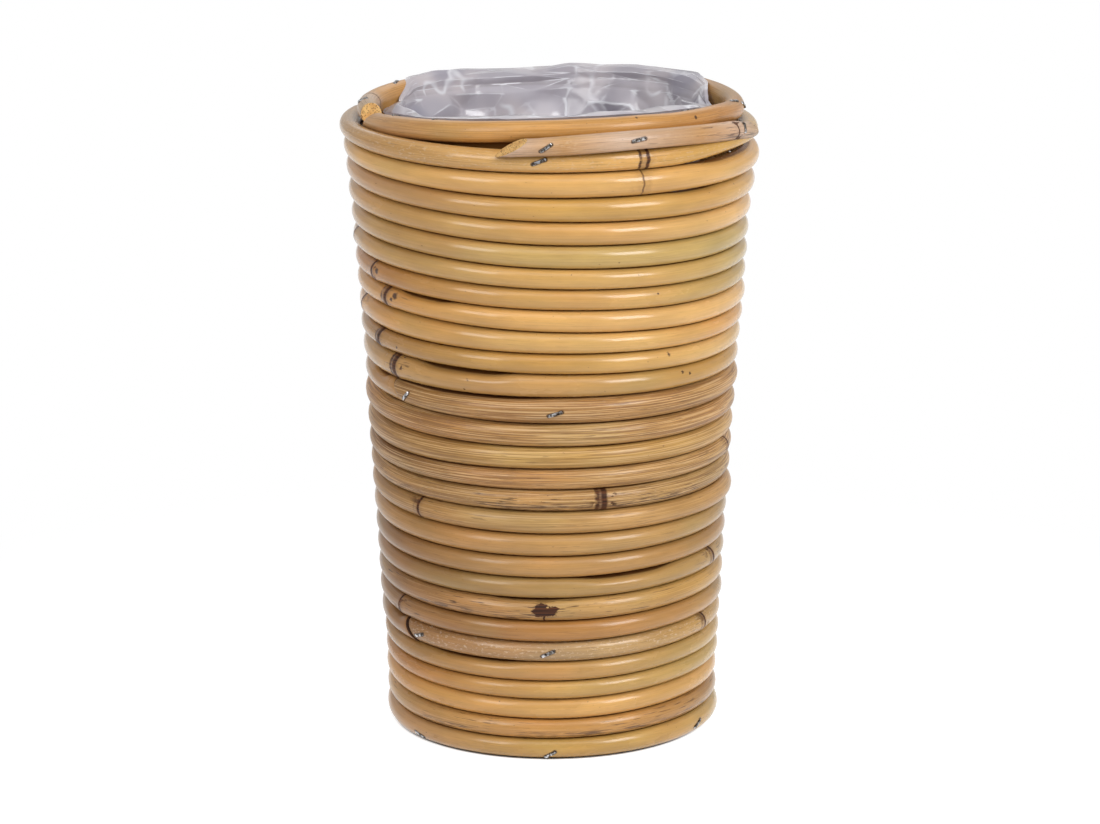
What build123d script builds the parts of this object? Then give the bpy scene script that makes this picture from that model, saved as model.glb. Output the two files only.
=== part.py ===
"""Vase wound from cane: five canes coiled round six stakes, with a rim hoop and a film liner.

Millimetres. The origin is the middle of the foot, +Z is up and the front is towards -Y.
The coil climbs clockwise, seen from above: back, right, front, left. Places along it are
counted in turns from the back of the foot, so that 0.25 is right, 0.5 front and 0.75 left.
"""
from build123d import *
import os
from math import cos, degrees, floor, pi, radians, sin, sqrt

os.makedirs("parts", exist_ok=True)

# Wall: its inside is set by the stakes, upright at the foot and leaning out above it
foot_inner_radius = 66.0
flare_start_height = 16.0
flare_share = 0.0585
stake_clearance = 0.3
lay_clearance = 0.62
foot_flat_depth = 0.5
rim_bulge_depth = 1.5

foot_cane_diameter = 8.6
lower_cane_diameter = 9.5
middle_cane_diameter = 9.6
upper_cane_diameter = 8.8
top_cane_diameter = 9.2

# Each cane of the wall: name, diameter, and the turns at which it starts and ends
wall_canes = (
    ("wall_cane_foot", foot_cane_diameter, 0.0, 5.657),
    ("wall_cane_lower", lower_cane_diameter, 5.657, 11.08),
    ("wall_cane_middle", middle_cane_diameter, 11.08, 16.652),
    ("wall_cane_upper", upper_cane_diameter, 16.652, 22.0),
    ("wall_cane_top", top_cane_diameter, 22.0, 27.75),
)
turn_count = 28
quarters = 4
bulge_turns = 4
full_turn = 360

# Climb of a turn: none at the foot, where all of it is made in the last quarter, most of
# it in the upper part, and little at the rim. Each pair is a turn and its share of a lay.
climb_shares = ((0, 0.0), (16, 0.0), (18, 0.7), (22, 1.2), (24, 1.2), (27, 0.3), (28, 0.3))
# Share of that climb made by the back, the right, the front and the left
quarter_shares = (0.0, 0.0, 0.35, 0.7)

# Slanted joints between canes
joint_length = 8.0
joint_clearance = 0.4
cut_margin_width = 0.25
cut_overrun_length = 6.0

# Base disc, inside the feet of the stakes and flush with the foot
disc_thickness = 6.0
disc_clearance = 0.3
disc_chamfer = 0.6

# Stakes: flat slats of split cane, at these angles from the front, to the right
stake_width = 9.0
stake_thickness = 3.6
stake_edge_radius = 1.2
stake_lift_height = 1.0
stake_bend_radius = 240.0
stake_head_clearance = 0.3
stakes = (
    ("stake_front", 0),
    ("stake_front_right", 62),
    ("stake_back_right", 122),
    ("stake_back", 180),
    ("stake_back_left", -118),
    ("stake_front_left", -53),
)

# Rim hoop: a bent cane just inside the top turn, higher at the front, ends meeting at the left
hoop_diameter = 9.6
hoop_inset_depth = 4.0
hoop_tilt = 1.5
hoop_clearance = 0.35
hoop_joint_angle = -62
hoop_joint_length = 11.0
hoop_joint_clearance = 0.9

# Finishing cane, laid on the top turn at the front and the right, under the hoop
finishing_diameter = 8.4
finishing_clearance = 0.4
finishing_cut_length = 9.0
finishing_cut_roll = 40
# Angles from the front between which it may lie against the top turn
shave_angles = (110, -50)
# Angle from the front, then height above the top turn and stand-out from it there, as
# shares of the distance between the two canes where they lie together
finishing_shares = (
    (76, 0.13, 0.52),
    (60, 0.58, 0.60),
    (24, 0.95, 0.51),
    (-13, 0.60, 0.76),
)

# Film liner: a cup of thin film, drawn thicker than it is, with its main folds
film_thickness = 0.8
film_clearance = 1.5
film_foot_clearance = 0.3
lip_clearance = 0.35
lip_angle = 62
# Each fold: angle of its middle from the front, half its width and its depth as a share
fold_depth = 7.0
fold_shares = (
    (-172, 9, 0.9),
    (-140, 7, 0.6),
    (-104, 10, 1.0),
    (-66, 8, 0.7),
    (-24, 6, 0.5),
    (12, 9, 0.6),
    (51, 7, 0.5),
    (88, 8, 0.8),
    (121, 10, 1.0),
    (154, 7, 0.7),
)
# Height of the liner's sections and depth of the folds there, as shares
film_section_shares = ((0.0, 0.05), (0.45, 0.25), (0.85, 0.9), (1.0, 1.0))

# Staples: steel wire with its crown pressed a little into the cane
wire_diameter = 1.0
wire_bend_radius = 0.8
staple_crown_width = 6.2
staple_leg_length = 11.0
short_leg_length = 7.0
staple_bite_depth = 0.3
# Staples seen in the wall: turn below the cane's end, angle from the front, and slant
end_staples = ((0, -53, 0), (0, -1, 0), (0, 61, 0), (5, -52, -12), (5, -1, 0), (16, -50, -50), (16, 1, 0))
finishing_staples = ((-1, -25), (22, -10), (66, -50))
top_staple_angle = -3
rim_staple_angles = (-50, -35, 62, 80, 118, 150, -165, -132, -105, -78)
# Turns that each stake is stapled to from inside
stake_staple_turns = (2, 7, 12, 17, 22, 26)

# Brads that hold the stakes to the edge of the disc
brad_diameter = 1.4
brad_length = 13.0


def share_at(table, place):
    """Value at a place in a table of (place, value) pairs, on straight lines between them."""
    for (start, first), (end, second) in zip(table, table[1:]):
        if place <= end:
            return first + (second - first) * (place - start) / (end - start)
    return table[-1][1]


def diameter_at(turn):
    """Diameter of the wall cane at a place along the coil."""
    for name, diameter, start, end in wall_canes:
        if turn < end:
            return diameter
    return wall_canes[-1][1]


def lay_heights():
    """Height of the coil's centre line at each quarter turn, each turn laid on the last."""
    heights = []
    back = foot_cane_diameter / 2 - foot_flat_depth
    for turn in range(turn_count + 1):
        lays = []
        for quarter in range(quarters):
            place = turn + quarter / quarters
            lays.append((diameter_at(place) + diameter_at(place - 1)) / 2 + lay_clearance)
        climb = share_at(climb_shares, turn) * lays[0]
        rises = [climb * share for share in quarter_shares]
        if turn:
            back = max(
                below + lay - rise
                for below, lay, rise in zip(heights[-quarters:], lays, rises)
            )
        heights += [back + rise for rise in rises]
    return heights


stations = lay_heights()


def slope_at(station):
    """Rise of the coil at a station, in length per quarter turn, nil where it runs level."""
    before = stations[station] - stations[max(station - 1, 0)]
    after = stations[min(station + 1, len(stations) - 1)] - stations[station]
    if before <= 0 or after <= 0:
        return 0.0
    return 2 * before * after / (before + after)


def coil_height(turn):
    """Height of the coil's centre line and its rise per quarter turn."""
    place = turn * quarters
    station = min(floor(place), len(stations) - 2)
    part = place - station
    low, high = stations[station], stations[station + 1]
    leave, arrive = slope_at(station), slope_at(station + 1)
    cubic = 2 * (low - high) + leave + arrive
    square = 3 * (high - low) - 2 * leave - arrive
    height = low + part * (leave + part * (square + part * cubic))
    rise = leave + part * (2 * square + 3 * part * cubic)
    return height, rise


def inner_radius(height):
    """Inside of the wall, which is the outer face of the stakes."""
    return foot_inner_radius + flare_share * max(height - flare_start_height, 0)


def bulge(turn):
    """How far the top turns stand out at the left and the right."""
    lift = max(turn - turn_count + bulge_turns, 0) / bulge_turns
    return rim_bulge_depth * min(lift, 1) * sin(2 * pi * turn) ** 2


def coil_point(turn, diameter):
    """Point of the coil's centre line and its direction there."""
    angle = 2 * pi * turn
    height, rise = coil_height(turn)
    radius = inner_radius(height) + stake_clearance + diameter / 2 + bulge(turn)
    climb = rise * quarters / (2 * pi)
    spread = flare_share * climb if height > flare_start_height else 0
    point = Vector(radius * sin(angle), radius * cos(angle), height)
    heading = Vector(
        spread * sin(angle) + radius * cos(angle),
        spread * cos(angle) - radius * sin(angle),
        climb,
    )
    return point, heading.normalized()


def biarc_joint(start, heading, end, arrival):
    """Point where two arcs meet that lead from one point and heading to another."""
    chord = end - start
    both = heading + arrival
    square = both.dot(both) - 4
    linear = -2 * chord.dot(both)
    constant = chord.dot(chord)
    reach = (-linear - sqrt(linear**2 - 4 * square * constant)) / (2 * square)
    return (start + heading * reach + end - arrival * reach) / 2


def biarc_path(knots):
    """Wire of smooth arcs through (point, heading) knots, two from each to the next."""
    with BuildLine() as path:
        for (start, heading), (end, arrival) in zip(knots, knots[1:]):
            joint = biarc_joint(start, heading, end, arrival)
            first = TangentArc(start, joint, tangent=heading)
            TangentArc(joint, end, tangent=first % 1)
    return path.wire()


def coil_knots(start, end, diameter):
    """Knots of a stretch of the coil: its ends and each quarter turn between them."""
    places = [start]
    for station in range(turn_count * quarters + quarters):
        place = station / quarters
        if start < place < end:
            places.append(place)
    places.append(end)
    return [coil_point(place, diameter) for place in places]


def turns_for(length, turn, diameter):
    """Part of a turn that a length along the cane takes there."""
    point, heading = coil_point(turn, diameter)
    return length / (2 * pi * Vector(point.X, point.Y, 0).length)


def face_plane(point, heading):
    """Plane on the cane's axis facing outward, with X along the cane."""
    outward = Vector(point.X, point.Y, 0).normalized()
    across = heading.cross(outward)
    return Plane(origin=point, x_dir=heading, z_dir=across.cross(heading))


def turned(plane, angle):
    """The plane turned about its own normal."""
    heading = plane.x_dir * cos(radians(angle)) + plane.y_dir * sin(radians(angle))
    return Plane(origin=plane.origin, x_dir=heading, z_dir=plane.z_dir)


def rolled(plane, angle):
    """The plane turned about its own X, which lies along the cane."""
    normal = plane.z_dir * cos(radians(angle)) + plane.y_dir * sin(radians(angle))
    return Plane(origin=plane.origin, x_dir=plane.x_dir, z_dir=normal)


def end_slice(plane, diameter, low, high, far):
    """Outline of what a slanted cut takes off the end of a cane.

    The cut crosses the cane's underside at low and its top at high, and its waste ends at
    far, all along the cane.
    """
    half = diameter / 2 + cut_margin_width
    with BuildSketch(plane) as waste:
        with BuildLine():
            Polyline((low, half), (high, -half), (far, -half), (far, half), close=True)
        make_face()
    return waste.sketch


def least_gap(path, diameter):
    """Least gap from a wound cane to itself, on points along its centre line."""
    steps_per_turn = 72
    reach = 5
    turns = path.length / (2 * pi * foot_inner_radius)
    steps = floor(turns * steps_per_turn)
    points = [path.position_at(step / steps) for step in range(steps + 1)]
    least = None
    for index, point in enumerate(points):
        for other in points[index + steps_per_turn // 2:index + steps_per_turn * 2 + reach]:
            gap = (other - point).length - diameter
            least = gap if least is None else min(least, gap)
    return least


def round_section(point, heading, diameter):
    """Round section of a cane or a wire, square to it."""
    with BuildSketch(Plane(origin=point, z_dir=heading)) as section:
        Circle(diameter / 2)
    return section.sketch


# Wall canes
joint_half = joint_length / 2
for name, diameter, start, end in wall_canes:
    head = turns_for(joint_half, start, diameter)
    tail = turns_for(joint_half, end, diameter)
    first = max(start - head, 0)
    last = end + tail
    path = biarc_path(coil_knots(first, last, diameter))
    with BuildPart() as wall_cane:
        sweep(round_section(*coil_point(first, diameter), diameter), path=path)
        if start:
            plane = face_plane(*coil_point(start, diameter))
            low, high = joint_clearance - joint_half, joint_clearance + joint_half
            waste = end_slice(plane, diameter, low, high, -joint_half - cut_overrun_length)
            extrude(waste, amount=diameter, both=True, mode=Mode.SUBTRACT)
        else:
            split(bisect_by=Plane.XY, keep=Keep.TOP)
        plane = face_plane(*coil_point(end, diameter))
        waste = end_slice(plane, diameter, -joint_half, joint_half, joint_half + cut_overrun_length)
        extrude(waste, amount=diameter, both=True, mode=Mode.SUBTRACT)
    wall_cane.part.label = name
    export_step(wall_cane.part, f"parts/{name}.step")
    filled = wall_cane.part.volume / (pi * diameter**2 / 4 * path.length)
    print(name, "least gap to itself", round(least_gap(path, diameter), 3), "filled", round(filled, 3))

# Where the rim lies: the hoop rests on the top turn at the back
top_start = turn_count - 1
top_back = coil_point(top_start, top_cane_diameter)[0]
hoop_radius = top_back.Y - hoop_inset_depth
hoop_apart = hoop_diameter / 2 + top_cane_diameter / 2 + hoop_clearance
hoop_back_height = top_back.Z + sqrt(hoop_apart**2 - hoop_inset_depth**2)
hoop_middle_height = hoop_back_height + hoop_radius * sin(radians(hoop_tilt))
hoop_plane = Plane(
    origin=(0, 0, hoop_middle_height),
    x_dir=(1, 0, 0),
    z_dir=(0, sin(radians(hoop_tilt)), cos(radians(hoop_tilt))),
)


def outward(angle):
    """Direction at an angle from the front, to the right."""
    return Vector(sin(radians(angle)), -cos(radians(angle)), 0)


def hoop_knot(angle):
    """Point of the hoop's centre line at an angle from the front, and its heading leftward."""
    side = outward(angle)
    along = Vector(-cos(radians(angle)), -sin(radians(angle)), 0)
    point = hoop_plane.from_local_coords((hoop_radius * side.X, hoop_radius * side.Y, 0))
    heading = hoop_plane.from_local_coords((along.X, along.Y, 0)) - hoop_plane.origin
    return point, heading.normalized()


def height_of_hoop(angle):
    """Height of the hoop's centre line at an angle from the front."""
    return hoop_knot(angle)[0].Z


# Base disc
disc_radius = foot_inner_radius - stake_thickness - disc_clearance
with BuildPart() as base_disc:
    with BuildSketch(Plane.XY):
        Circle(disc_radius)
    extrude(amount=disc_thickness)
    chamfer(base_disc.edges(), disc_chamfer)
base_disc.part.label = "base_disc"
export_step(base_disc.part, "parts/base_disc.step")

# Stakes
for name, angle in stakes:
    half = stake_thickness / 2
    side = outward(angle)
    head_height = height_of_hoop(angle) - hoop_diameter / 2 - stake_head_clearance
    with BuildPart() as stake:
        with BuildLine() as stake_path:
            FilletPolyline(
                side * (foot_inner_radius - half) + Vector(0, 0, stake_lift_height),
                side * (foot_inner_radius - half) + Vector(0, 0, flare_start_height),
                side * (inner_radius(head_height) - half) + Vector(0, 0, head_height),
                radius=stake_bend_radius,
            )
        with BuildSketch(Plane(origin=stake_path.wire() @ 0, x_dir=side, z_dir=(0, 0, 1))):
            RectangleRounded(stake_thickness, stake_width, stake_edge_radius)
        sweep(path=stake_path.wire())
    stake.part.label = name
    export_step(stake.part, f"parts/{name}.step")

# Rim hoop: one end is cut square and the other, in front of it, on a slant that faces up
hoop_half = hoop_joint_length / 2
hoop_gap = degrees(hoop_joint_clearance / hoop_radius)
hoop_first = hoop_joint_angle - degrees(hoop_half / hoop_radius) - hoop_gap
with BuildPart() as rim_hoop:
    revolve(
        round_section(*hoop_knot(hoop_first), hoop_diameter),
        axis=Axis(hoop_plane.origin, -hoop_plane.z_dir),
        revolution_arc=full_turn - hoop_gap,
    )
    plane = face_plane(*hoop_knot(hoop_joint_angle))
    far = hoop_half + hoop_joint_clearance / 2
    waste = end_slice(plane, hoop_diameter, hoop_half, -hoop_half, far)
    extrude(waste, amount=hoop_diameter, both=True, mode=Mode.SUBTRACT)
rim_hoop.part.label = "rim_hoop"
export_step(rim_hoop.part, "parts/rim_hoop.step")


def turn_of(coils, angle):
    """Place along the coil at an angle from the front, to the right, after whole turns."""
    return coils + 1 / 2 - angle / full_turn


# Finishing cane, shaved on its inner side where it lies against the top turn
finishing_lay = (finishing_diameter + top_cane_diameter) / 2 + finishing_clearance


def finishing_point(angle, rise_share, stand_share):
    """Point of the finishing cane's centre line, from the top turn below it."""
    point, heading = coil_point(turn_of(top_start, angle), top_cane_diameter)
    stand = outward(angle) * (stand_share * finishing_lay)
    return point + stand + Vector(0, 0, rise_share * finishing_lay)


finishing_points = [finishing_point(*place) for place in finishing_shares]
finishing_tangents = []
for index, place in enumerate(finishing_shares):
    side = outward(place[0])
    level = Vector(side.Y, -side.X, 0)
    before = finishing_points[max(index - 1, 0)]
    after = finishing_points[min(index + 1, len(finishing_points) - 1)]
    chord = after - before
    run = Vector(chord.X, chord.Y, 0).length
    finishing_tangents.append((level + Vector(0, 0, chord.Z / run)).normalized())
finishing_knots = list(zip(finishing_points, finishing_tangents))

shave_diameter = top_cane_diameter + 2 * finishing_clearance
shave_start, shave_end = [turn_of(top_start, angle) for angle in shave_angles]
shave_knots = coil_knots(shave_start, shave_end, top_cane_diameter)
with BuildPart() as shaving:
    sweep(round_section(*shave_knots[0], shave_diameter), path=biarc_path(shave_knots))

finishing_half = finishing_cut_length / 2
with BuildPart() as finishing_cane:
    sweep(round_section(*finishing_knots[0], finishing_diameter), path=biarc_path(finishing_knots))
    add(shaving.part, mode=Mode.SUBTRACT)
    first_plane = face_plane(*finishing_knots[0])
    first_waste = end_slice(first_plane, finishing_diameter, 0, finishing_half, -cut_overrun_length)
    extrude(first_waste, amount=finishing_diameter, both=True, mode=Mode.SUBTRACT)
    last_plane = rolled(face_plane(*finishing_knots[-1]), finishing_cut_roll)
    last_waste = end_slice(
        last_plane, finishing_diameter, 0, -finishing_cut_length, cut_overrun_length
    )
    extrude(last_waste, amount=finishing_diameter, both=True, mode=Mode.SUBTRACT)
finishing_cane.part.label = "finishing_cane"
export_step(finishing_cane.part, "parts/finishing_cane.step")

# Film liner
film_outer_radius = foot_inner_radius - stake_thickness - film_clearance
film_floor = disc_thickness + film_foot_clearance
film_top_radius = hoop_radius - hoop_diameter / 2 - lip_clearance


def film_section(height_share, fold_share, inset, lift):
    """Outline of the liner at a height, pushed in at each fold, less its thickness inside."""
    base = film_floor + lift
    height = base + (hoop_middle_height - base) * height_share
    radius = film_outer_radius + (film_top_radius - film_outer_radius) * height_share - inset
    tilt = radians(hoop_tilt * height_share)
    plane = Plane(origin=(0, 0, height), x_dir=(1, 0, 0), z_dir=(0, sin(tilt), cos(tilt)))

    def place(angle, depth):
        return (radius - depth) * outward(angle)

    with BuildSketch(plane) as section:
        with BuildLine():
            for (angle, half, depth), following in zip(
                fold_shares, fold_shares[1:] + fold_shares[:1]
            ):
                gap_start, gap_end = angle + half, following[0] - following[1]
                if gap_end < gap_start:
                    gap_end += full_turn
                crease = depth * fold_depth * fold_share
                ThreePointArc(
                    place(angle - half, 0), place(angle, crease), place(gap_start, 0)
                )
                ThreePointArc(
                    place(gap_start, 0), place((gap_start + gap_end) / 2, 0), place(gap_end, 0)
                )
        make_face()
    return section.sketch


with BuildPart() as film_hollow:
    loft([film_section(*shares, film_thickness, film_thickness) for shares in film_section_shares])
with BuildPart() as film_liner:
    loft([film_section(*shares, 0, 0) for shares in film_section_shares])
    add(film_hollow.part, mode=Mode.SUBTRACT)
    lip_inner = hoop_diameter / 2 + lip_clearance
    lip_outer = lip_inner + film_thickness
    lip_reach = 2 * lip_outer
    lip_rise = lip_reach * sin(radians(lip_angle))
    lip_plane = Plane(origin=hoop_plane.origin, x_dir=(1, 0, 0), z_dir=-hoop_plane.y_dir)
    with BuildSketch(lip_plane) as lip:
        with Locations((hoop_radius, 0)):
            Circle(lip_outer)
            Circle(lip_inner, mode=Mode.SUBTRACT)
        with BuildLine():
            Polyline(
                (hoop_radius, 0),
                (hoop_radius - lip_reach, 0),
                (hoop_radius - lip_reach, lip_rise),
                (hoop_radius - lip_reach * cos(radians(lip_angle)), lip_rise),
                close=True,
            )
        make_face(mode=Mode.INTERSECT)
    revolve(axis=Axis(hoop_plane.origin, hoop_plane.z_dir))
film_liner.part.label = "film_liner"
export_step(film_liner.part, "parts/film_liner.step")


# Staples
def staple_wire(plane, leg):
    """Centre line of a staple whose crown lies along the plane's X and whose legs go in."""
    half = (staple_crown_width - wire_diameter) / 2
    with BuildLine(plane) as wire:
        FilletPolyline(
            (-half, 0, -leg),
            (-half, 0, 0),
            (half, 0, 0),
            (half, 0, -leg),
            radius=wire_bend_radius,
        )
    return wire.wire()


def on_surface(point, heading, diameter, slant):
    """Plane of a staple's crown on the outer side of a cane, turned by its slant."""
    seat = diameter / 2 + wire_diameter / 2 - staple_bite_depth
    return turned(face_plane(point, heading).offset(seat), slant)


def staples_part(name, crown_planes, leg):
    """One node with a staple in each plane."""
    with BuildPart() as group:
        for plane in crown_planes:
            wire = staple_wire(plane, leg)
            sweep(round_section(wire @ 0, wire % 0, wire_diameter), path=wire)
    group.part.label = name
    export_step(group.part, f"parts/{name}.step")


def end_staple_plane(coils, angle, slant):
    """Crown plane of a staple in the wall."""
    turn = turn_of(coils, angle)
    diameter = diameter_at(turn)
    return on_surface(*coil_point(turn, diameter), diameter, slant)


foot_planes = [end_staple_plane(*place) for place in end_staples if place[0] == 0]
joint_planes = [end_staple_plane(*place) for place in end_staples if place[0]]
staples_part("foot_staples", foot_planes, staple_leg_length)
staples_part("joint_staples", joint_planes, staple_leg_length)

finishing_path = biarc_path(finishing_knots)
finishing_first, finishing_last = finishing_shares[0][0], finishing_shares[-1][0]
finishing_planes = [end_staple_plane(top_start, top_staple_angle, 0)]
for angle, slant in finishing_staples:
    share = (finishing_first - angle) / (finishing_first - finishing_last)
    point, heading = finishing_path @ share, finishing_path % share
    finishing_planes.append(on_surface(point, heading, finishing_diameter, slant))
staples_part("finishing_staples", finishing_planes, staple_leg_length)

rim_planes = []
for angle in rim_staple_angles:
    point, heading = hoop_knot(angle)
    shoulder = (hoop_plane.z_dir - outward(angle)).normalized()
    seat = lip_outer + wire_diameter / 2 - staple_bite_depth
    rim_planes.append(Plane(origin=point + shoulder * seat, x_dir=heading, z_dir=shoulder))
staples_part("rim_staples", rim_planes, short_leg_length)

stake_planes = []
for name, angle in stakes:
    for coils in stake_staple_turns:
        turn = turn_of(coils, angle)
        height = coil_height(turn)[0]
        side = outward(angle)
        seat = inner_radius(height) - stake_thickness - wire_diameter / 2 + staple_bite_depth
        along = Vector(side.Y, -side.X, 0)
        stake_planes.append(Plane(origin=side * seat + Vector(0, 0, height), x_dir=along, z_dir=-side))
staples_part("stake_staples", stake_planes, short_leg_length)

# Brads through the feet of the stakes into the disc
with BuildPart() as disc_brads:
    for name, angle in stakes:
        side = outward(angle)
        origin = side * foot_inner_radius + Vector(0, 0, disc_thickness / 2)
        with BuildSketch(Plane(origin=origin, z_dir=-side)):
            Circle(brad_diameter / 2)
        extrude(amount=brad_length)
disc_brads.part.label = "disc_brads"
export_step(disc_brads.part, "parts/disc_brads.step")
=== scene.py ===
"""Looks of the wound cane vase: its canes, rim, film liner, staples and stage."""
from math import atan2, cos, degrees, exp, hypot, pi, radians, sin
from random import Random

import bmesh
import bpy
from mathutils import Matrix, Vector, noise


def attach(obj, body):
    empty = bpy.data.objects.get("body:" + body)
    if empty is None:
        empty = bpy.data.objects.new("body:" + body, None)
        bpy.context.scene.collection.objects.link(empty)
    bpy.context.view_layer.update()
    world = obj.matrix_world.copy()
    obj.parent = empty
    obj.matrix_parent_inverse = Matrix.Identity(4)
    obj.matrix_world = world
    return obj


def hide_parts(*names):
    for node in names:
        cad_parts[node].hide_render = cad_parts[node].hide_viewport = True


bl_info = {
    "name": "Cane Vase",
    "version": (1, 0, 0),
    "blender": (4, 5, 0),
    "location": "3D View > Sidebar > Cane Vase",
    "description": "Dresses the packed cane vase and sets its stage",
    "category": "Add Mesh",
}

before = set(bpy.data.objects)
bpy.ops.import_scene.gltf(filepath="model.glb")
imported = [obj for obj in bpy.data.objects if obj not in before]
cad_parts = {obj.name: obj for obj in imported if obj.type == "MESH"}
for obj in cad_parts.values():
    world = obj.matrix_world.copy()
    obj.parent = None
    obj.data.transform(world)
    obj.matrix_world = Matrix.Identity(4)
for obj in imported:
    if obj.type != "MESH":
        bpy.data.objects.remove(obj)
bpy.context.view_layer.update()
MM = 0.001
BODY = "vase"

# The coil climbs clockwise, seen from above. Rows of it are counted from the top, and angles
# from the front, to the right. Places along it are turns from the back of the foot.
ROW_COUNT = 28
LEFT, RIGHT = -55, 60
# Heights in mm of the lines between rows, from the top of row 1, at the left, front and right
ROW_LINES = (
    (280.9, 279.9, 279.4), (271.5, 270.1, 270.0), (262.0, 258.8, 258.3), (252.2, 248.3, 246.6),
    (241.8, 237.8, 235.9), (231.5, 227.5, 225.3), (221.6, 218.3, 216.1), (211.6, 208.8, 206.4),
    (202.1, 198.8, 196.2), (190.6, 189.1, 187.4), (181.6, 179.8, 177.8), (169.5, 169.1, 168.2),
    (159.4, 157.1, 156.8), (147.4, 146.6, 146.2), (136.0, 136.5, 136.0), (127.6, 126.9, 126.6),
    (117.7, 117.0, 116.3), (107.6, 106.3, 106.1), (96.8, 95.8, 96.4), (86.8, 85.8, 86.7),
    (77.0, 76.1, 76.9), (66.7, 65.5, 66.4), (56.8, 55.5, 56.8), (46.4, 46.0, 47.1),
    (37.3, 36.7, 38.0), (29.0, 28.2, 29.4), (19.3, 18.5, 19.8), (9.4, 9.3, 10.0),
)
# Each wall cane: its node, its first and last place, and its outside diameter in mm
WALL_CANES = (
    ("wall_cane_foot", 0.0, 5.657, 8.6),
    ("wall_cane_lower", 5.657, 11.08, 9.5),
    ("wall_cane_middle", 11.08, 16.652, 9.6),
    ("wall_cane_upper", 16.652, 22.0, 8.8),
    ("wall_cane_top", 22.0, 27.80, 9.2),
)
# Half the gap between two canes that meet, in turns, and the last place that a cane lies on
JOINT_GAP = 0.0010
LAST_COVERED = 27.0
# Open gaps between rows: the row below it, the angles it runs between, and its depth in mm
ROW_GAPS = (
    (2, 40, 96, 1.5), (3, 34, 58, 0.7), (8, -54, -28, 1.2), (11, -50, -8, 1.8), (12, -52, 2, 0.9),
    (12, -75, -60, 1.2), (13, -70, -56, 0.8), (20, 4, 50, 1.6), (21, -24, 8, 0.7), (23, -76, -57, 1.6),
    (24, -50, -6, 0.9), (24, -90, -62, 0.9),
)
# The stretch where the top row's underside is lifted, its eased ends, and its lift in mm
LIFTED = (27.20, 0.05, 27.40, 0.08, 2.2)
# Nodes of the canes: row, angle, strength of the line, double line, and stain
CANE_KNOTS = (
    (1, 27.9, 0.7, 1.0, 0.4), (1, 150.0, 0.4, 0.0, 0.2), (2, 26.7, 0.35, 0.0, 0.3),
    (3, -168.0, 0.5, 0.0, 0.3), (4, 172.0, 0.4, 0.0, 0.2), (5, 140.0, 0.5, 0.0, 0.3),
    (6, -82.6, 0.9, 0.0, 0.4), (7, -64.5, 1.0, 0.0, 1.0), (8, -57.1, 1.0, 0.8, 1.0),
    (9, -78.8, 1.0, 0.0, 0.7), (10, -63.3, 1.0, 0.8, 1.1), (11, -54.8, 1.0, 1.0, 1.1),
    (12, 158.0, 0.5, 0.0, 0.4), (13, 134.0, 0.6, 0.2, 0.5), (14, 176.0, 0.4, 0.0, 0.4),
    (15, 76.6, 0.9, 0.4, 0.5), (16, 16.8, 1.0, 1.0, 1.15), (17, -46.6, 0.8, 0.3, 0.9),
    (18, -120.0, 0.5, 0.0, 0.3), (19, 166.0, 0.5, 0.0, 0.3), (20, 68.0, 0.8, 0.5, 1.1),
    (21, -2.3, 0.05, 0.0, 1.6), (21, 118.0, 0.4, 0.0, 0.3), (22, -61.0, 1.0, 0.0, 0.8),
    (23, 64.3, 0.8, 0.5, 0.8), (24, -146.0, 0.4, 0.0, 0.2), (25, 150.0, 0.4, 0.0, 0.2),
    (26, -128.0, 0.6, 0.0, 0.4), (27, 122.0, 0.5, 0.0, 0.5), (28, -150.0, 0.4, 0.0, 0.2),
)
# Swelling of a node in mm and its half length, and the length of a turn that it is laid out on
KNOT_SWELL, KNOT_LENGTH, TURN_LENGTH = 0.42, 3.2, 500
# Tones of cane, in 0 to 255. Bark, umber and russet also carry painted shade at the left of the rows and at
# the back and right of the hoop
TONES = {
    "straw": (207, 161, 92), "honey": (218, 168, 98), "wheat": (229, 181, 113),
    "gold": (216, 167, 78), "olive": (196, 162, 96), "amber": (208, 152, 82),
    "tan": (193, 147, 86), "umber": (175, 130, 74), "russet": (184, 129, 68),
    "grey": (184, 150, 106), "rose": (194, 147, 96), "pale": (206, 175, 150),
    "bark": (154, 110, 64), "ochre": (199, 153, 80), "dun": (180, 142, 84),
}
# Tones of each row at the left, the front and the right, and where those lie, from the right. The left tones
# are darker than the front ones in nearly every row: painted shade of the left side, laid over the canes' own
# tones
ROW_TONES = (
    ("tan", "honey", "gold"), ("honey", "honey", "honey"), ("rose", "ochre", "straw"),
    ("tan", "straw", "wheat"), ("tan", "olive", "olive"), ("tan", "straw", "olive"),
    ("russet", "straw", "olive"), ("amber", "honey", "wheat"), ("amber", "honey", "honey"),
    ("umber", "ochre", "wheat"), ("tan", "tan", "ochre"), ("umber", "umber", "tan"),
    ("russet", "tan", "tan"), ("umber", "ochre", "straw"), ("bark", "tan", "tan"),
    ("umber", "tan", "dun"), ("umber", "tan", "tan"), ("umber", "tan", "dun"),
    ("bark", "tan", "umber"), ("bark", "dun", "dun"), ("bark", "tan", "ochre"),
    ("bark", "russet", "dun"), ("bark", "grey", "ochre"), ("umber", "tan", "olive"),
    ("russet", "straw", "olive"), ("amber", "honey", "honey"), ("tan", "amber", "umber"),
    ("rose", "ochre", "olive"),
)
TONE_SHARES = (0.30, 0.50, 0.66)
# Amounts of dark dashes, pale scuffs and fine stripes
PLAIN, DIRTY = (0.15, 0.0, 0.0), (0.9, 0.1, 0.2)
STREAKED, SCUFFED = (0.55, 0.1, 1.0), (0.35, 1.0, 0.2)
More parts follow.
